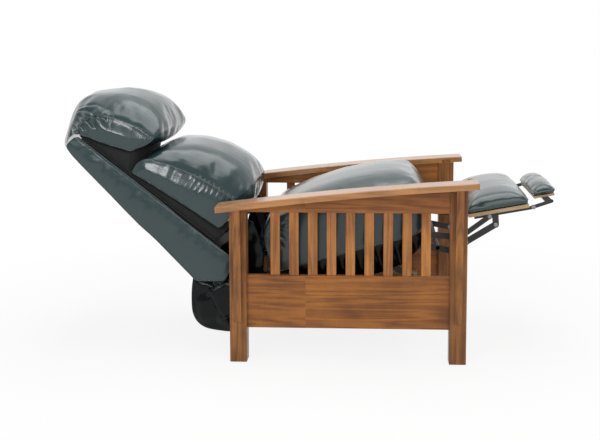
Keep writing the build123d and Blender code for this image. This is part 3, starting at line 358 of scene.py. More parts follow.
FINISHES = {
    oak_post: both("rear_post", "front_post") + ["corbels"],
    oak_rail: both("bottom_rail", "top_rail"),
    oak_slat: both("slats"),
    oak_arm: both("arm"),
    oak_cross: ["rear_rail"],
    hardwood: ["mounting_cleats", "seat_side_rails", "seat_front_rail", "seat_rear_rail", "footrest_board",
               "flap_board", "back_stiles", "back_top_rail", "back_bottom_rail"],
    black_enamel: both("base_plate", "seat_plate") + [
        "front_cross_bar", "rear_cross_bar", "front_swing_links", "rear_swing_links", "upper_lift_links",
        "lower_lift_links", "link_cross_tube", "carrier_links", "guide_links", "footrest_brackets",
        "flap_brackets", "back_brackets"],
    zinc: ["seat_springs", "base_rivets", "seat_rivets", "upper_lift_rivets", "carrier_rivets",
           "footrest_rivets"],
    webbing_cloth: ["back_webbing"],
    platform_cloth: ["back_lining"],
    glide_plastic: ["leg_glides"],
    green_leather: both("wing") + ["seat_cushion", "footrest_pad", "flap_pad", "outside_back_panel",
                                   "lumbar_cushion", "head_pillow"],
    black_leather: ["rear_curtain", "seat_skirts"],
}


def paint(mesh, material):
    mesh.materials.clear()
    mesh.materials.append(material)


for material, names in FINISHES.items():
    for name in names:
        paint(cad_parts[name].data, material)
print("finished", sum(len(names) for names in FINISHES.values()), "of", len(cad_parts), "nodes")


# %% [markdown]
# ## How a cushion is stuffed
# A real cushion is a sewn cover with foam and fibre pushed into it. The seams don't give, and the panels
# between them swell. So we take the cushion's CAD form, shrink it a little, pin the points near the seams and
# let Blender's cloth solver blow the panels up. A cap keeps every point near its place, and a last smoothing
# pulls the leather taut, because a tight cushion shows long soft highlights and not crumpled ones.

# %% Working with whole meshes
WELD = 1e-5  # points nearer than this are one point


def new_piece(name, data):
    piece = bpy.data.objects.new(name, data)
    scene.collection.objects.link(piece)
    return piece


def triples(items, key):
    """Three numbers for each item of a mesh, such as its place or its normal."""
    flat = np.empty(len(items) * 3)
    items.foreach_get(key, flat)
    return flat.reshape(-1, 3)


def points_of(mesh):
    return triples(mesh.vertices, "co")


def outward(mesh):
    return triples(mesh.vertex_normals, "vector")


def move_points(mesh, points):
    mesh.vertices.foreach_set("co", np.asarray(points, float).ravel())
    mesh.update()


def baked(piece):
    """The piece with its modifiers worked in, as a plain mesh."""
    graph = bpy.context.evaluated_depsgraph_get()
    mesh = bpy.data.meshes.new_from_object(piece.evaluated_get(graph))
    old = piece.data
    piece.modifiers.clear()
    piece.data = mesh
    bpy.data.meshes.remove(old)
    return mesh


def reskinned(piece, voxel):
    """The piece as an even skin of small squares."""
    remesh = piece.modifiers.new("skin", "REMESH")
    remesh.mode = "VOXEL"
    remesh.voxel_size = voxel
    return baked(piece)


def copy_of(node, name):
    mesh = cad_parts[node].data.copy()
    mesh.name = name
    work = bmesh.new()
    work.from_mesh(mesh)
    bmesh.ops.remove_doubles(work, verts=work.verts, dist=WELD)
    work.to_mesh(mesh)
    work.free()
    return new_piece(name, mesh)


def dress(piece, body, node=None, material=None, smooth=True):
    """The finish of a piece. It is parented to the empty of the body it rides on, and the CAD node it
    replaces is hidden.
    """
    mesh = piece.data
    if material is not None:
        paint(mesh, material)
    if smooth:
        mesh.polygons.foreach_set("use_smooth", np.ones(len(mesh.polygons), bool))
        mesh.update()
    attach(piece, body)
    if node is not None:
        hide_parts(node)
    print(piece.name, len(mesh.polygons), "faces")


# %% [markdown]
# ## Where the seams run
# On a box cushion the seam follows the edge of the side panel. Slicing the CAD form with a plane just inside
# that edge gives exactly that line. The same slice serves twice: to hold the cloth there, and to lay the
# piping on.

# %% Slice a form to find its seam
def seam_line(node, point, normal):
    """The closed line where a plane cuts a CAD node, as points in order."""
    work = bmesh.new()
    work.from_mesh(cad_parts[node].data)
    bmesh.ops.remove_doubles(work, verts=work.verts, dist=WELD)
    everything = work.verts[:] + work.edges[:] + work.faces[:]
    cut = bmesh.ops.bisect_plane(work, geom=everything, plane_co=point, plane_no=normal, dist=1e-6)
    edges = [item for item in cut["geom_cut"] if isinstance(item, bmesh.types.BMEdge)]
    beside = {}
    for edge in edges:
        for vertex in edge.verts:
            beside.setdefault(vertex, []).append(edge)
    loops = []
    left = dict.fromkeys(edges)
    while left:
        loop = list(left.popitem()[0].verts)
        while True:
            following = [item for item in beside[loop[-1]] if item in left]
            if not following:
                break
            left.pop(following[0])
            loop.append(following[0].other_vert(loop[-1]))
        loops.append([vertex.co.copy() for vertex in loop[:-1]])
    work.free()
    longest = max(loops, key=lambda loop: sum((a - b).length for a, b in zip(loop, loop[1:])))
    return np.array([tuple(point) for point in longest])


def even(line, step, closed=True):
    """The same line, flat or in space, with its points a steady step apart."""
    if closed:
        line = np.vstack([line, line[:1]])
    along = np.concatenate([[0], np.cumsum(np.linalg.norm(np.diff(line, axis=0), axis=1))])
    count = max(8, int(along[-1] / step)) + (not closed)
    wanted = np.linspace(0, along[-1], count, endpoint=not closed)
    return np.stack([np.interp(wanted, along, values) for values in line.T], axis=1)


def distance_to(points, line):
    """How far each point is from the nearest point of a line, 40 points of the line at a time."""
    best = np.full(len(points), 9.0)
    for start in range(0, len(line), 40):
        gaps = np.linalg.norm(points[:, None, :] - line[None, start:start + 40, :], axis=2)
        best = np.minimum(best, gaps.min(axis=1))
    return best


# %% [markdown]
# ## The stuffing step
# Voxel remeshing turns the CAD form into an even skin of small squares that can bend. The vertex group holds
# the seams and whatever lies on wood. After twenty frames the swelling is capped and the solver is removed.

# %% Smooth a mesh
def eased(mesh, held, rounds):
    """The points of a mesh after smoothing rounds that leave the held points nearly alone."""
    pairs = np.empty(len(mesh.edges) * 2, int)
    mesh.edges.foreach_get("vertices", pairs)
    a, b = pairs.reshape(-1, 2).T
    points = points_of(mesh)
    count = np.bincount(a, minlength=len(points)) + np.bincount(b, minlength=len(points))
    loose = (0.5 * (1 - 0.85 * held))[:, None]
    for number in range(rounds):
        total = np.zeros_like(points)
        for axis in range(3):
            total[:, axis] = np.bincount(a, points[b, axis], len(points))
            total[:, axis] += np.bincount(b, points[a, axis], len(points))
        points += (total / count[:, None] - points) * loose
    return points


# %% Stuff a cushion
SEAM_STEP = 0.004
HELD, FREE = 0.003, 0.009  # cloth this near to a seam is held, and this far from it is free
CLOTH_FRAMES = 20
CLOTH = {"quality": 4, "mass": 0.3, "tension_stiffness": 12, "compression_stiffness": 12,
         "shear_stiffness": 6, "bending_stiffness": 0.4, "use_pressure": True, "uniform_pressure_force": 4.0}


def stuffed(name, node, seams, voxel, shrink, cap, slack=0.01, still=None, smoothing=10, taut=9):
    """A CAD form swollen into a cushion. It starts smaller by shrink, and no point moves beyond cap."""
    piece = copy_of(node, name)
    mesh = reskinned(piece, voxel)
    start = points_of(mesh)
    held = np.zeros(len(start))
    for line in seams:
        gap = distance_to(start, even(line, SEAM_STEP))
        held = np.maximum(held, np.clip((FREE - gap) / (FREE - HELD), 0, 1))
    if still is not None:
        held = np.maximum(held, still(start))
    start = eased(mesh, held, smoothing)
    move_points(mesh, start)
    start = start - outward(mesh) * (shrink * (1 - 0.35 * held))[:, None]
    move_points(mesh, start)
    group = piece.vertex_groups.new(name="held")
    for index in np.flatnonzero(held > 0.02):
        group.add([int(index)], float(held[index]), "REPLACE")
    cloth = piece.modifiers.new("cloth", "CLOTH")
    for setting, value in CLOTH.items():
        setattr(cloth.settings, setting, value)
    cloth.settings.shrink_min = -slack
    cloth.settings.effector_weights.gravity = 0
    cloth.settings.vertex_group_mass = "held"
    cloth.collision_settings.use_collision = False
    for number in range(CLOTH_FRAMES):
        scene.frame_set(number + 1)
    graph = bpy.context.evaluated_depsgraph_get()
    swollen = piece.evaluated_get(graph).to_mesh()
    moved = points_of(swollen) - start
    length = np.maximum(np.linalg.norm(moved, axis=1), 1e-9)
    moved *= (cap * np.tanh(length / cap) / length)[:, None]
    move_points(mesh, start + moved)
    moved = eased(mesh, held, taut) - start
    piece.modifiers.clear()
    piece.vertex_groups.clear()
    scene.frame_set(1)
    move_points(mesh, start + moved)
    most = float(np.linalg.norm(moved, axis=1).max())
    print(name, len(start), "points, swollen by up to", round(most * 1000, 1), "mm")
    return piece


# %% [markdown]
# ## Piping
# A thin leather cord is sewn into the main seams. Its line is the seam line, laid on the finished skin by
# looking for the nearest point of the cushion. Geometry Nodes turn the line into a tube, so the cord's
# thickness is one named input.

# %% Piping tree
def start_geometry(name, **inputs):
    """A Geometry Nodes tree. Its finish is an input too, beside the numbers named here."""
    sockets = [("Geometry", "Geometry"), *inputs.items(), ("Finish", "Material")]
    return start_tree(name, "GeometryNodeTree", sockets, [("Geometry", "Geometry")])


def tube(tree, curve, radius, sides, caps):
    """The node that sweeps a ring along a curve."""
    ring = add(tree, "GeometryNodeCurvePrimitiveCircle", {"Radius": radius, "Resolution": sides})
    return add(tree, "GeometryNodeCurveToMesh",
               {"Curve": curve, "Profile Curve": ring.outputs[0], "Fill Caps": caps})


def end_tree(tree, shape, entry, way_out):
    """The last two nodes of every Geometry Nodes tree here: real faces, in their finish."""
    real = add(tree, "GeometryNodeRealizeInstances", {"Geometry": shape.outputs[0]})
    inputs = {"Geometry": real.outputs[0], "Material": entry["Finish"]}
    tree.links.new(add(tree, "GeometryNodeSetMaterial", inputs).outputs[0], way_out[0])


piping_tree, entry, way_out = start_geometry("piping", Radius="Float", Sides="Int")
cord = tube(piping_tree, entry["Geometry"], entry["Radius"], entry["Sides"], False)
end_tree(piping_tree, cord, entry, way_out)
print("piping tree has", len(piping_tree.nodes), "nodes")


# %% Lay a cord on a skin
def line_object(name, lines, closed=True):
    curve = bpy.data.curves.new(name, "CURVE")
    curve.dimensions = "3D"
    for line in lines:
        spline = curve.splines.new("POLY")
        spline.points.add(len(line) - 1)
        spline.points.foreach_set("co", np.hstack([line, np.ones((len(line), 1))]).ravel())
        spline.use_cyclic_u = closed
    return new_piece(name, curve)


def worked(name, source, tree, values):
    """Runs a Geometry Nodes tree on a source object and keeps the result as a plain mesh piece."""
    modifier = source.modifiers.new("nodes", "NODES")
    modifier.node_group = tree
    for item in tree.interface.items_tree:
        if item.in_out == "INPUT" and item.name in values:
            modifier[item.identifier] = values[item.name]
    graph = bpy.context.evaluated_depsgraph_get()
    mesh = bpy.data.meshes.new_from_object(source.evaluated_get(graph))
    mesh.name = name
    piece = new_piece(name, mesh)
    source.modifiers.clear()
    bpy.data.objects.remove(source)
    return piece


def laid_on(piece, line, lift):
    """A seam line moved onto the skin of a finished piece."""
    tree = BVHTree.FromObject(piece, bpy.context.evaluated_depsgraph_get())
    laid = []
    for point in line:
        spot, normal, index, gap = tree.find_nearest(Vector(point))
        laid.append(tuple(spot + normal * lift))
    laid = np.array(laid)
    for step in range(2):
        laid = (laid + np.roll(laid, 1, axis=0) + np.roll(laid, -1, axis=0)) / 3
    return laid


# %% Make a whole cushion
PIPING_STEP = 0.006


def cushion(name, node, body, seams, folds=None, fill=0.8, cord_radius=0.0018, **stuffing):
    """Stuffs a cushion, rounds it with one subdivision, folds its leather, and pipes its seams."""
    piece = stuffed(name, node, seams, **stuffing)
    rounder = piece.modifiers.new("round", "SUBSURF")
    rounder.levels = rounder.render_levels = 1
    mesh = baked(piece)
    if folds is not None:
        points = points_of(mesh)
        move_points(mesh, points + folds(points, outward(mesh), seams))
    dress(piece, body, node, green_leather)
    cord_name = name.removesuffix("_cover") + "_piping"
    laid = [laid_on(piece, even(line, PIPING_STEP), cord_radius * 0.35) for line in seams]
    # The cord's finish is painted lighter than the cover, a painted highlight along the seam.
    piping = worked(cord_name, line_object(cord_name + "_line", laid), piping_tree,
                    {"Radius": cord_radius, "Sides": 8, "Finish": piping_leather_painted_highlight})
    dress(piping, body)


# %% [markdown]
# ## Folds in leather
# Leather gathers where it turns a corner, puckers under a tight seam, ripples along a crown and swells beside
# a seam. These habits are written as formulas on the cushion's flat frame. Each gives a depth in metres along
# the skin's outward direction, and fades to nothing away from its place.

# %% Fading and noise
def fade(values, full, none):
    """1 where values reach full, 0 where they reach none, with a soft way between."""
    share = np.clip((values - none) / (full - none), 0, 1)
    return share * share * (3 - 2 * share)


def noise_at(points, scale):
    """Smooth noise between -1 and 1, with a scale for each axis."""
    return np.array([noise.noise(Vector(point * scale)) for point in points])


# %% Formulas for gathers, puckers, ripples and swelling
HALF_WIDTH = 0.262  # from the middle of the chair to the side of a cushion
SIDE_PANEL = 0.250  # the side panels lie further out than this


def gathers(flat, centre, count, depth, reach, width):
    """Sharp pleats that run out from a corner in the side view."""
    x, z = flat[:, 0] - centre[0], flat[:, 2] - centre[1]
    far = np.hypot(x, z)
    near_side = fade(np.abs(flat[:, 1]), HALF_WIDTH, HALF_WIDTH - width)
    near = (far < reach) & (near_side > 0)
    pleats = np.zeros(len(flat))
    angle = np.arctan2(z[near], x[near]) + 3.0 * far[near]
    pleats[near] = np.abs(np.sin(count * angle / 2 + 0.6 * noise_at(flat[near], 40.0))) - 0.6
    return depth * pleats * fade(far, reach * 0.35, reach) * fade(far, 0.020, 0.004) * near_side


def puckers(flat, start, end, spacing, length, depth):
    """Short dents that hang below a seam on the side panel, drawn from start to end."""
    start, end = np.array(start), np.array(end)
    run = np.linalg.norm(end - start)
    ahead_of, away = (end - start) / run, np.array([(end - start)[1], -(end - start)[0]]) / run
    place = flat[:, [0, 2]] - start
    along, below = place @ ahead_of, place @ away
    on_seam = (along > 0) & (along < run) & (np.abs(below) < 3 * length)
    near = on_seam & (np.abs(flat[:, 1]) > SIDE_PANEL)
    dents = np.zeros(len(flat))
    wander = noise_at(flat[near], 22.0)
    dents[near] = np.sin(2 * math.pi * along[near] / spacing + 2.5 * wander) * (0.7 + 0.6 * wander)
    ends = fade(along, run * 0.2, 0) * fade(along, run * 0.9, run)
    return depth * dents * np.exp(-np.abs(below) / length) * ends


def ripples(flat, depth, across=95.0):
    """Fine lines along the crown, narrow from side to side."""
    return depth * noise_at(flat, np.array([9.0, across, 9.0]))


def swelling(points, flat, seams, depth, reach, full, none):
    """A side panel that swells away from its seams. full and none are distances from the middle."""
    from_seam = distance_to(points, np.vstack(seams))
    return depth * fade(from_seam, reach, 0.0) * fade(np.abs(flat[:, 1]), full, none)


# %% [markdown]
# ## The lumbar cushion
# This is the big cushion for the lower back. Its side panel is a long lens between two piped seams, and its
# crown stands some 30 cm proud of the frame. The cloth is held along both seams.

# %% Lumbar cushion
def side_seams(node, y):
    return [seam_line(node, (0, side * y, 0), SIDEWAYS) for side in SIDES.values()]


def lumbar_folds(points, normals, seams):
    flat = local(BACK, points)
    crown = fade(np.abs(flat[:, 1]), 0.215, 0.250)
    swell = swelling(points, flat, seams, 0.010, 0.085, 0.256, 0.235) * fade(flat[:, 2], 0.260, 0.160)
    depth = (swell + puckers(flat, (0.240, 0.300), (0.308, 0.100), 0.019, 0.030, 0.0022)
             + puckers(flat, (0.205, 0.400), (0.270, 0.230), 0.040, 0.026, 0.0006)
             + ripples(flat, 0.00028) * crown)
    return normals * depth[:, None]


cushion("lumbar", "lumbar_cushion", "back", side_seams("lumbar_cushion", 0.2585), lumbar_folds,
        voxel=0.0068, shrink=0.008, cap=0.022, smoothing=8)

# %% [markdown]
# ## The head pillow
# The pillow has the same build, but its rear end is gathered where it meets the top of the back, and its
# underside is pulled down to the wings and to the lumbar cushion.

# %% Head pillow
def toward(x, z):
    """A move on the slope of the back, as a move in the chair."""
    return np.array(BACK.to_3x3() @ Vector((x, 0, z)))


def pillow_folds(points, normals, seams):
    flat = local(BACK, points)
    x, y, z = flat.T
    tip = fade(x, 0.27, 0.20) * fade(np.abs(y), 0.215, 0.250)
    depth = (swelling(points, flat, seams, 0.010, 0.075, 0.256, 0.235)
             + gathers(flat, (0.100, 0.735), 19, 0.0085, 0.170, 0.085)
             + puckers(flat, (0.120, 0.705), (0.200, 0.600), 0.019, 0.022, 0.0014)
             + ripples(flat, 0.0005) * tip)
    tail = fade(x, 0.020, 0.160) * fade(z, 0.735, 0.625)
    tuck = fade(x, 0.050, 0.130) * fade(z, 0.718, 0.664)
    chin = fade(z, 0.480, 0.560) * fade(x, 0.230, 0.140)
    pulled = tail[:, None] * toward(-0.052, -0.004) + tuck[:, None] * toward(-0.030, -0.042)
    return normals * depth[:, None] + pulled + chin[:, None] * toward(-0.004, -0.022)


cushion("pillow", "head_pillow", "back", side_seams("head_pillow", 0.2585), pillow_folds,
        voxel=0.0058, shrink=0.007, cap=0.022, smoothing=5)


# %% [markdown]
# ## The seat cushion
# A thick pad of foam that drops over the seat rails. Where it sits on the rails and springs it must not
# swell, so everything around that pocket is held still.

# %% Seat cushion
def round_the_pocket(points):
    x, y, z = local(SEAT, points).T
    pocket = (x > 0.030) & (x < 0.546) & (np.abs(y) < 0.252) & (z < 0.092)
    underside = z < 0.012
    return (pocket | underside).astype(float)


def seat_folds(points, normals, seams):
    flat = local(SEAT, points)
    depth = (gathers(flat, (0.052, 0.150), 18, 0.0050, 0.105, 0.060)
             + ripples(flat, 0.0003, across=60.0) * fade(flat[:, 2], 0.20, 0.12))
    return normals * depth[:, None]


cushion("seat", "seat_cushion", "seat", side_seams("seat_cushion", 0.2605), seat_folds,
        voxel=0.0075, shrink=0.008, cap=0.010, still=round_the_pocket)


# %% [markdown]
# ## The footrest pads
# Both pads are foam on a board, wrapped in leather, with piping round the foot of the crown. The piping lies
# in one plane, a finger's width above the board.

# %% Footrest pads
def level_seam(node, height):
    normal = FOOT.to_3x3() @ Vector(UPWARD)
    return [seam_line(node, FOOT @ Vector((0, 0, height)), normal)]


def on_the_board(height):
    def still(points):
        return (local(FOOT, points)[:, 2] < height).astype(float)
    return still


cushion("footrest", "footrest_pad", "footrest", level_seam("footrest_pad", 0.0265),
        voxel=0.0050, shrink=0.005, cap=0.009, slack=0.02, still=on_the_board(0.016))
cushion("flap", "flap_pad", "flap", level_seam("flap_pad", 0.0285),
        voxel=0.0040, shrink=0.004, cap=0.007, slack=0.02, still=on_the_board(0.021))


# %% [markdown]
# ## The wings
# Each side of the back is a narrow padded panel, broad beside the seat and thin at the top. The outer face
# swells softly inside a piped edge.

# %% Wings
WING_SEAM_INSET = 0.004


def wing_folds(points, normals, seams):
    flat = local(BACK, points)
    swell = swelling(points, flat, seams, 0.006, 0.050, HALF_WIDTH, 0.245) * fade(flat[:, 2], 0.300, 0.180)
    return normals * swell[:, None]


for word, side in SIDES.items():
    name = word + "_wing"
    low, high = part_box(name)
    outer = max(abs(low.y), abs(high.y)) - WING_SEAM_INSET
    cushion(name + "_cover", name, "back", [seam_line(name, (0, side * outer, 0), SIDEWAYS)], wing_folds,
            fill=0.7, cord_radius=0.0020, voxel=0.0060, shrink=0.003, cap=0.007, slack=0.02, smoothing=4,
            taut=4)


# %% [markdown]
# ## Sheets of leather
# The black leather behind and under the chair is thin and hangs loose. A flat outline is filled with small
# triangles, placed in the chair, pushed into folds by a formula and given the thickness of the hide.

# %% Cut a sheet
def inside(outline, points):
    """Which points lie within an outline, by counting the edges on one side."""
    x, z = points.T
    hits = np.zeros(len(points), int)
    for (x0, z0), (x1, z1) in zip(outline, np.roll(outline, -1, axis=0)):
        if z0 == z1:
            continue
        across = (z0 > z) != (z1 > z)
        hits += across & (x < x0 + (z - z0) * (x1 - x0) / (z1 - z0))
    return hits % 2 == 1


def area_of(outline):
    x, z = outline.T
    return abs(float(x @ np.roll(z, -1) - z @ np.roll(x, -1))) / 2


def cut_sheet(name, outline, step, place, node="rear_curtain", body="back",
              material=black_leather, thickness=0.0016):
    """A sheet cut to a flat outline. place takes flat points and how far they are from the rim, and gives
    their points in the chair."""
    rim = even(np.array(outline, float), step)
    low, high = rim.min(axis=0), rim.max(axis=0)
    columns, rows = np.arange(low[0], high[0], step), np.arange(low[1], high[1], step)
    grid = np.stack(np.meshgrid(columns, rows), -1).reshape(-1, 2)
    grid[:, 0] += 0.5 * step * (np.round((grid[:, 1] - low[1]) / step) % 2)
    grid = grid[inside(rim, grid)]
    grid = grid[distance_to(grid, rim) > 0.55 * step]
    edges = [(number, (number + 1) % len(rim)) for number in range(len(rim))]
    made = delaunay_2d_cdt([Vector(point) for point in np.vstack([rim, grid])], edges, [], 1, 1e-6)
    corners = np.array([tuple(point) for point in made[0]])
    mesh = bpy.data.meshes.new(name)
    mesh.from_pydata([tuple(point) for point in place(corners, distance_to(corners, rim))], [], made[2])
    piece = new_piece(name, mesh)
    skin = piece.modifiers.new("skin", "SOLIDIFY")
    skin.thickness = thickness
    skin.offset = 0
    baked(piece)
    dress(piece, body, node, material)
    print(name, "has a flat area of", round(area_of(rim), 4), "m2")


# %% [markdown]
# ## The black curtain behind the chair
# A sling of black leather closes the gap under the back. It hangs from the foot of the back, bellies out and
# tucks in behind the rear rail. Two side pieces close its ends. Each has a corner folded over itself, and the
# leather is creased towards that corner.

# %% Sling
CURTAIN = np.array([(-0.5457, 0.2716), (-0.5500, 0.2400), (-0.5520, 0.1980), (-0.5490, 0.1500),
                    (-0.5330, 0.1150), (-0.5020, 0.0930), (-0.4500, 0.0830), (-0.4070, 0.0810),
                    (-0.3900, 0.0980)])
CURTAIN_HALF = 0.247


def smooth_path(points, step):
    """An open line through the points with rounded bends, a steady step apart."""
    padded_ends = np.vstack([2 * points[0] - points[1], points, 2 * points[-1] - points[-2]])
    t = np.linspace(0, 1, 12, endpoint=False)[:, None]
    pieces = []
    for a, b, c, d in zip(padded_ends, padded_ends[1:], padded_ends[2:], padded_ends[3:]):
        bend, twist = 2 * a - 5 * b + 4 * c - d, 3 * b - a - 3 * c + d
        pieces.append(0.5 * (2 * b + (c - a) * t + bend * t ** 2 + twist * t ** 3))
    return even(np.vstack([*pieces, points[-1:]]), step, closed=False)


sling_line = smooth_path(CURTAIN, 0.002)
sling_tangent = np.gradient(sling_line, axis=0)
sling_tangent /= np.linalg.norm(sling_tangent, axis=1)[:, None]
SLING_LENGTH = float(np.linalg.norm(np.diff(sling_line, axis=0), axis=1).sum())


def on_sling(flat, rim_gap):
    numbers = np.arange(len(sling_line))
    spot = np.clip(flat[:, 1] / SLING_LENGTH, 0, 1) * numbers[-1]
    x, z, tx, tz = [np.interp(spot, numbers, values) for values in (*sling_line.T, *sling_tangent.T)]
    wave = noise_at(np.stack([flat[:, 0], flat[:, 1] * 0.35, flat[:, 1] * 0], axis=1), 16.0)
    push = 0.007 * wave * fade(rim_gap, 0.045, 0.0)
    return np.stack([x - tz * push + SHIFT, flat[:, 0], z + tx * push], axis=1)


cut_sheet("curtain_sling", [(-CURTAIN_HALF, 0), (CURTAIN_HALF, 0), (CURTAIN_HALF, SLING_LENGTH),
                            (-CURTAIN_HALF, SLING_LENGTH)], 0.008, on_sling)

# %% Side pieces of the curtain
GUSSET_FRONT = [(-0.3890, 0.120), (-0.3885, 0.216), (-0.3300, 0.236), (-0.2450, 0.264), (-0.2350, 0.290),
                (-0.2980, 0.300), (-0.2950, 0.360), (-0.3120, 0.420), (-0.3330, 0.474), (-0.3800, 0.480),
                (-0.4100, 0.410), (-0.4250, 0.345), (-0.4700, 0.285)]
GUSSET = [tuple(point) for point in smooth_path(CURTAIN, 0.010)] + GUSSET_FRONT
FOLDED_CORNER = [(-0.492, 0.236), (-0.432, 0.262), (-0.398, 0.266), (-0.398, 0.150), (-0.436, 0.128),
                 (-0.466, 0.176)]
CREASES_MEET = (-0.445, 0.235)


def upright(x, z, y=0):
    """Points of an upright sheet, y to the left of the middle."""
    return np.stack([x, x * 0 + y, z], axis=1)


def on_gusset(side, flat, rim_gap):
    x, z = flat.T
    from_x, from_z = x - CREASES_MEET[0], z - CREASES_MEET[1]
    angle = np.arctan2(from_z, from_x)
    crease = np.abs(np.sin(3.5 * angle + 1.5 * noise_at(upright(x, z), 9.0))) - 0.5
    belly = 0.021 * fade(rim_gap, 0.085, -0.020) * fade(x, -0.420, -0.385)
    small = 0.011 * crease * fade(rim_gap, 0.030, 0.002) * fade(np.hypot(from_x, from_z), 0.030, 0.005)
    push = belly + small + 0.004 * noise_at(upright(x, z), 24.0) * fade(rim_gap, 0.02, 0)
    return upright(x + SHIFT, z, side * (CURTAIN_HALF - 0.002 + push))


def on_fold(side, flat, rim_gap):
    x, z = flat.T
    push = 0.0290 - 0.0070 * fade(rim_gap, 0.0, 0.014) + 0.003 * noise_at(upright(x, z), 35.0)
    return upright(x + SHIFT, z, side * (CURTAIN_HALF + push))


for word, side in SIDES.items():
    name = word + "_gusset"
    cut_sheet(name, GUSSET, 0.0065, partial(on_gusset, side))
    cut_sheet(name + "_fold", FOLDED_CORNER, 0.005, partial(on_fold, side))

# %% [markdown]
# ## The skirts
# Black leather hangs down from the seat's lower seam on each side and hides the steel. It is cut full, so it
# falls in shallow upright folds.

# %% Skirts
SKIRT = [(0.120, 0.008), (0.551, 0.008), (0.584, -0.012), (0.566, -0.034), (0.500, -0.078), (0.440, -0.090),
         (0.300, -0.098), (0.170, -0.080), (0.126, -0.040)]
SKIRT_HALF = 0.2475


def on_skirt(side, flat, rim_gap):
    x, z = flat.T
    pad = upright(x, z * 0.3, side)
    folds = 0.0035 * np.sin(x * 95 + 2.0 * noise_at(pad, 12.0)) + 0.0025 * noise_at(pad, 40.0)
    push = folds * fade(-z, 0.06, -0.008)
    return placed(SEAT, upright(x, z, side * (SKIRT_HALF + push)))


for word, side in SIDES.items():
    cut_sheet(word + "_skirt", SKIRT, 0.006, partial(on_skirt, side),
              node="seat_skirts", body="seat", thickness=0.0014)

# %% [markdown]
# ## The outside of the back
# Leather is stretched over the rear of the back frame. Its sides are tacked under the wings, and its top end
# is folded forward over the top rail. It stands a little proud in the middle, because the webbing pushes on
# it.

# %% Outside back
TUCK_IN, FOLD_OVER = 0.011, 0.034
panel = local(BACK, points_of(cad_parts["outside_back_panel"].data))
panel_low, panel_high = panel.min(axis=0), panel.max(axis=0)
print("back panel", (panel_high - panel_low).round(3))


def on_back(flat, rim_gap):
    y, z = flat[:, 0], np.minimum(flat[:, 1], panel_high[2] + 0.0015)
    over = flat[:, 1] - z
    pull = 0.0012 * noise_at(np.stack([y, z, z * 0], axis=1), np.array([30.0, 6.0, 1.0]))
    pull *= fade(rim_gap, 0.0, 0.08) * fade(rim_gap, 0.012, 0.0)
    proud = 0.006 * fade(rim_gap, 0.110, 0.0) + pull
    middle = (panel_low[0] + panel_high[0]) / 2
    return placed(BACK, np.stack([middle - proud + over, y, z], axis=1))


y_low, y_high = panel_low[1] - TUCK_IN, panel_high[1] + TUCK_IN
bottom, top = panel_low[2], panel_high[2] + FOLD_OVER
cut_sheet("back_cover", [(y_low, bottom), (y_high, bottom), (y_high, top), (y_low, top)], 0.012, on_back,
          node="outside_back_panel", material=green_leather,
          thickness=panel_high[0] - panel_low[0])

# %% [markdown]
# ## The lining and the webbing
# Black platform cloth covers the core of the back between the cushions and the wings. It is wrapped, not
# stuffed, so it only needs soft edges and slack. The straps under it are woven elastic and sag a little.

# %% Lining
lining = copy_of("back_lining", "lining_cloth")
mesh = reskinned(lining, 0.0075)
move_points(mesh, eased(mesh, np.zeros(len(mesh.vertices)), 3))
points = points_of(mesh)
slack_cloth = 0.0016 * noise_at(local(BACK, points), 18.0) - 0.0006
move_points(mesh, points + outward(mesh) * slack_cloth[:, None])
dress(lining, "back", "back_lining", platform_cloth)

# %% Straps
STRAP_SAG = 0.0022
straps = copy_of("back_webbing", "webbing_straps")
work = bmesh.new()
work.from_mesh(straps.data)
across_back = [edge for edge in work.edges if abs(edge.verts[0].co.y - edge.verts[1].co.y) > 0.3]
bmesh.ops.subdivide_edges(work, edges=across_back, cuts=15)
work.to_mesh(straps.data)
work.free()
points = points_of(straps.data)
half_width = np.abs(points[:, 1]).max()
sag = STRAP_SAG * (1 - (points[:, 1] / half_width) ** 2)
move_points(straps.data, points + sag[:, None] * toward(-1, 0))
dress(straps, "back", "back_webbing", webbing_cloth, smooth=False)

# %% [markdown]
# ## Sinuous springs
# The seat rests on wire that snakes from the rear rail to the front rail. One straight line per spring is
# enough: Geometry Nodes swing it from side to side and wrap a wire round it. The number of bends, the width
# and the wire are inputs, so another chair only needs other numbers.

# %% Spring tree
spring_tree, entry, way_out = start_geometry("sinuous_spring", Bends="Float", Width="Float", Wire="Float")
fine = add(spring_tree, "GeometryNodeResampleCurve", {"Curve": entry["Geometry"], "Count": 121})
way_along = add(spring_tree, "GeometryNodeSplineParameter").outputs["Factor"]
half_turns = calculate(spring_tree, "MULTIPLY", way_along, math.pi)
phase = calculate(spring_tree, "MULTIPLY", half_turns, entry["Bends"])
half_width = calculate(spring_tree, "MULTIPLY", entry["Width"], 0.5)
swing = calculate(spring_tree, "MULTIPLY", calculate(spring_tree, "SINE", phase), half_width)
aside = add(spring_tree, "ShaderNodeCombineXYZ", {"Y": swing}).outputs[0]
bent = add(spring_tree, "GeometryNodeSetPosition", {"Geometry": fine.outputs[0], "Offset": aside})
end_tree(spring_tree, tube(spring_tree, bent.outputs[0], entry["Wire"], 8, True), entry, way_out)
print("spring tree has", len(spring_tree.nodes), "nodes")

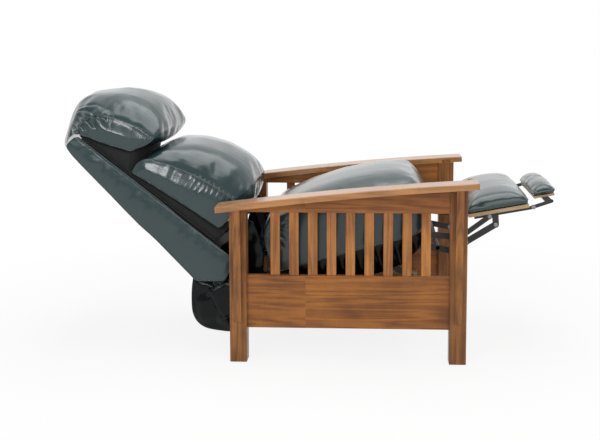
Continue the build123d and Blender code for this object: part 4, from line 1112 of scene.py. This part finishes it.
# %% Springs
SPRINGS, BENDS = 4, 10.0
CAD_WIDTH, SPRING_WIDTH, WIRE_RADIUS = 0.052, 0.0485, 0.00175
spring_points = local(SEAT, points_of(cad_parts["seat_springs"].data))
spring_low, spring_high = spring_points.min(axis=0), spring_points.max(axis=0)
middle_spring = (SPRINGS - 1) / 2
spring_pitch = (spring_high[1] - CAD_WIDTH / 2) / middle_spring
height = (spring_low[2] + spring_high[2]) / 2
lines = []
for number in range(SPRINGS):
    y = spring_pitch * (number - middle_spring)
    lines.append(placed(SEAT, [(spring_low[0], y, height), (spring_high[0], y, height)]))
springs = worked("sinuous_springs", line_object("spring_lines", lines, closed=False), spring_tree,
                 {"Bends": BENDS, "Width": SPRING_WIDTH, "Wire": WIRE_RADIUS, "Finish": zinc})
dress(springs, "seat", "seat_springs")

# %% [markdown]
# ## Domed rivet heads and screws
# Every pivot is closed by a peened rivet, and screws fix the steel plates to the wood. They are all one small
# shape on many points, so a tree places a dome on each point and turns it to face the way the point says.

# %% Fastener tree
dome_tree, entry, way_out = start_geometry("fastener_heads", Radius="Float", Height="Float")
ball = add(dome_tree, "GeometryNodeMeshUVSphere", {"Segments": 16, "Rings": 8, "Radius": 1.0})
size = add(dome_tree, "ShaderNodeCombineXYZ",
           {"X": entry["Radius"], "Y": entry["Radius"], "Z": entry["Height"]})
head = add(dome_tree, "GeometryNodeTransform", {"Geometry": ball.outputs[0], "Scale": size.outputs[0]})
facing = add(dome_tree, "GeometryNodeInputNamedAttribute", {"Name": "facing"}, data_type="FLOAT_VECTOR")
turned = add(dome_tree, "FunctionNodeAlignRotationToVector", {"Vector": facing.outputs[0]}, axis="Z")
heads = add(dome_tree, "GeometryNodeInstanceOnPoints",
            {"Points": entry["Geometry"], "Instance": head.outputs[0], "Rotation": turned.outputs[0]})
end_tree(dome_tree, heads, entry, way_out)
print("fastener tree has", len(dome_tree.nodes), "nodes")


def fasteners(name, body, places, radius, height):
    """Domes on points, each place being (x, y, z) and the direction that it faces."""
    mesh = bpy.data.meshes.new(name + "_points")
    mesh.from_pydata([place for place, way in places], [], [])
    direction = mesh.attributes.new("facing", "FLOAT_VECTOR", "POINT")
    direction.data.foreach_set("vector", np.array([way for place, way in places], float).ravel())
    piece = worked(name, new_piece(name + "_points", mesh), dome_tree,
                   {"Radius": radius, "Height": height, "Finish": zinc})
    dress(piece, body)


# %% Rivets and screws
RIVETS = {
    "base_frame": [(0.2330, 0.1674, 1), (-0.0274, 0.2271, 1)],
    "seat": [(0.0600, 0.2579, 3), (-0.0900, 0.2754, 3), (0.2367, 0.3935, 3), (0.2605, 0.4314, 4),
             (-0.3780, 0.4480, 4)],
    "upper_lift": [(0.4098, 0.4036, 4), (0.3875, 0.4205, 5)],
    "carrier": [(0.3860, 0.3658, 3), (0.5114, 0.4662, 4)],
    "footrest": [(0.4890, 0.4964, 5)],
}  # x, z and the layer of the linkage that each rivet ends on
FIRST_LAYER, NEXT_LAYER, STEEL, RIVET_HEAD = 0.203, 0.005, 0.0035, 0.0007
SCREW_Y, SCREW_Z = 0.281, 0.1230


def outer_face(layer):
    """How far from the middle the flat head of a rivet ends, on the given layer of the linkage."""
    return FIRST_LAYER + NEXT_LAYER * layer + STEEL + RIVET_HEAD


for body, spots in RIVETS.items():
    places = [((x + SHIFT, side * outer_face(layer), z), (0, side, 0))
              for x, z, layer in spots for side in SIDES.values()]
    fasteners(body + "_rivet_domes", body, places, 0.0068, 0.0006)

screws = [((x + SHIFT, side * SCREW_Y, SCREW_Z), (0, 0, -1))
          for x in (-0.038, 0.100, 0.238) for side in SIDES.values()]
fasteners("plate_screws", "base_frame", screws, 0.0050, 0.0024)

# %% [markdown]
# ## The studio
# A white floor and a soft white room. The camera sees pure white, and a mirror-like face sees a room that is
# darker behind the camera, which keeps the sides of the cushions deep. The light that falls on the chair
# comes from a gentle sky, three large soft lamps and a small one that stands for a window.

# %% Floor
FLOOR_HALF = 9
corners = [(x * FLOOR_HALF, y * FLOOR_HALF, 0) for x, y in ((-1, -1), (1, -1), (1, 1), (-1, 1))]
floor = new_piece("floor", bpy.data.meshes.new("floor"))
floor.data.from_pydata(corners, [], [(0, 1, 2, 3)])
floor_material, tree, place = start_material("floor")
tree.nodes.remove(tree.nodes["Principled BSDF"])
seen = add(tree, "ShaderNodeLightPath").outputs
paint_shader = add(tree, "ShaderNodeBsdfDiffuse", {"Color": (0.9, 0.9, 0.9)})
glow = add(tree, "ShaderNodeEmission", {"Color": (1, 1, 1), "Strength": 1.0})
direct = calculate(tree, "MAXIMUM", seen["Is Camera Ray"], seen["Is Glossy Ray"])
direct = calculate(tree, "MAXIMUM", direct, seen["Is Transmission Ray"])
distance = add(tree, "ShaderNodeVectorMath", {0: place}, operation="LENGTH").outputs["Value"]
share = calculate(tree, "MULTIPLY", direct, ramp(tree, distance, 0.9, 1.9, 0.86, 1.0))
blend = add(tree, "ShaderNodeMixShader", {0: share, 1: paint_shader.outputs[0], 2: glow.outputs[0]})
tree.links.new(blend.outputs[0], tree.nodes["Material Output"].inputs[0])
paint(floor.data, floor_material)
print("floor", 2 * FLOOR_HALF, "m wide")

# %% World and lamps
SKY = 0.42
world = bpy.data.worlds.new("studio")
scene.world = world
world.use_nodes = True
tree = world.node_tree
seen = add(tree, "ShaderNodeLightPath").outputs
direct = calculate(tree, "MAXIMUM", seen["Is Camera Ray"], seen["Is Transmission Ray"])
place = add(tree, "ShaderNodeTexCoord").outputs["Generated"]
across_room = add(tree, "ShaderNodeSeparateXYZ", {0: place}).outputs["Y"]
mirrored = calculate(tree, "MULTIPLY", seen["Is Glossy Ray"], ramp(tree, across_room, -0.5, 0.35, 0.30, 1.0))
strength = calculate(tree, "MAXIMUM", calculate(tree, "MAXIMUM", direct, mirrored), SKY)
background = tree.nodes["Background"]
feed(tree, background.inputs[0], (1, 1, 1))
feed(tree, background.inputs[1], strength)


def lamp(name, place, target, size, energy):
    """A soft rectangle of light in metres and watts that faces its target."""
    data = bpy.data.lights.new(name, "AREA")
    data.shape = "RECTANGLE"
    data.size, data.size_y = size
    data.energy = energy
    turn = (Vector(target) - Vector(place)).to_track_quat("-Z", "Y")
    new_piece(name, data).matrix_world = Matrix.Translation(place) @ turn.to_matrix().to_4x4()


lamp("top_softbox", (0.3, 0.0, 3.4), (0, 0, 0.4), (3.0, 2.4), 62)
lamp("left_softbox", (-1.9, -2.9, 2.5), (-0.3, 0, 0.6), (1.4, 0.7), 14)
lamp("window", (-1.05, -3.2, 1.75), (-0.4, 0, 0.75), (0.80, 0.50), 18)
lamp("front_softbox", (1.2, -3.6, 1.7), (0.1, 0, 0.4), (2.2, 1.6), 24)
scene.view_settings.view_transform = "Standard"
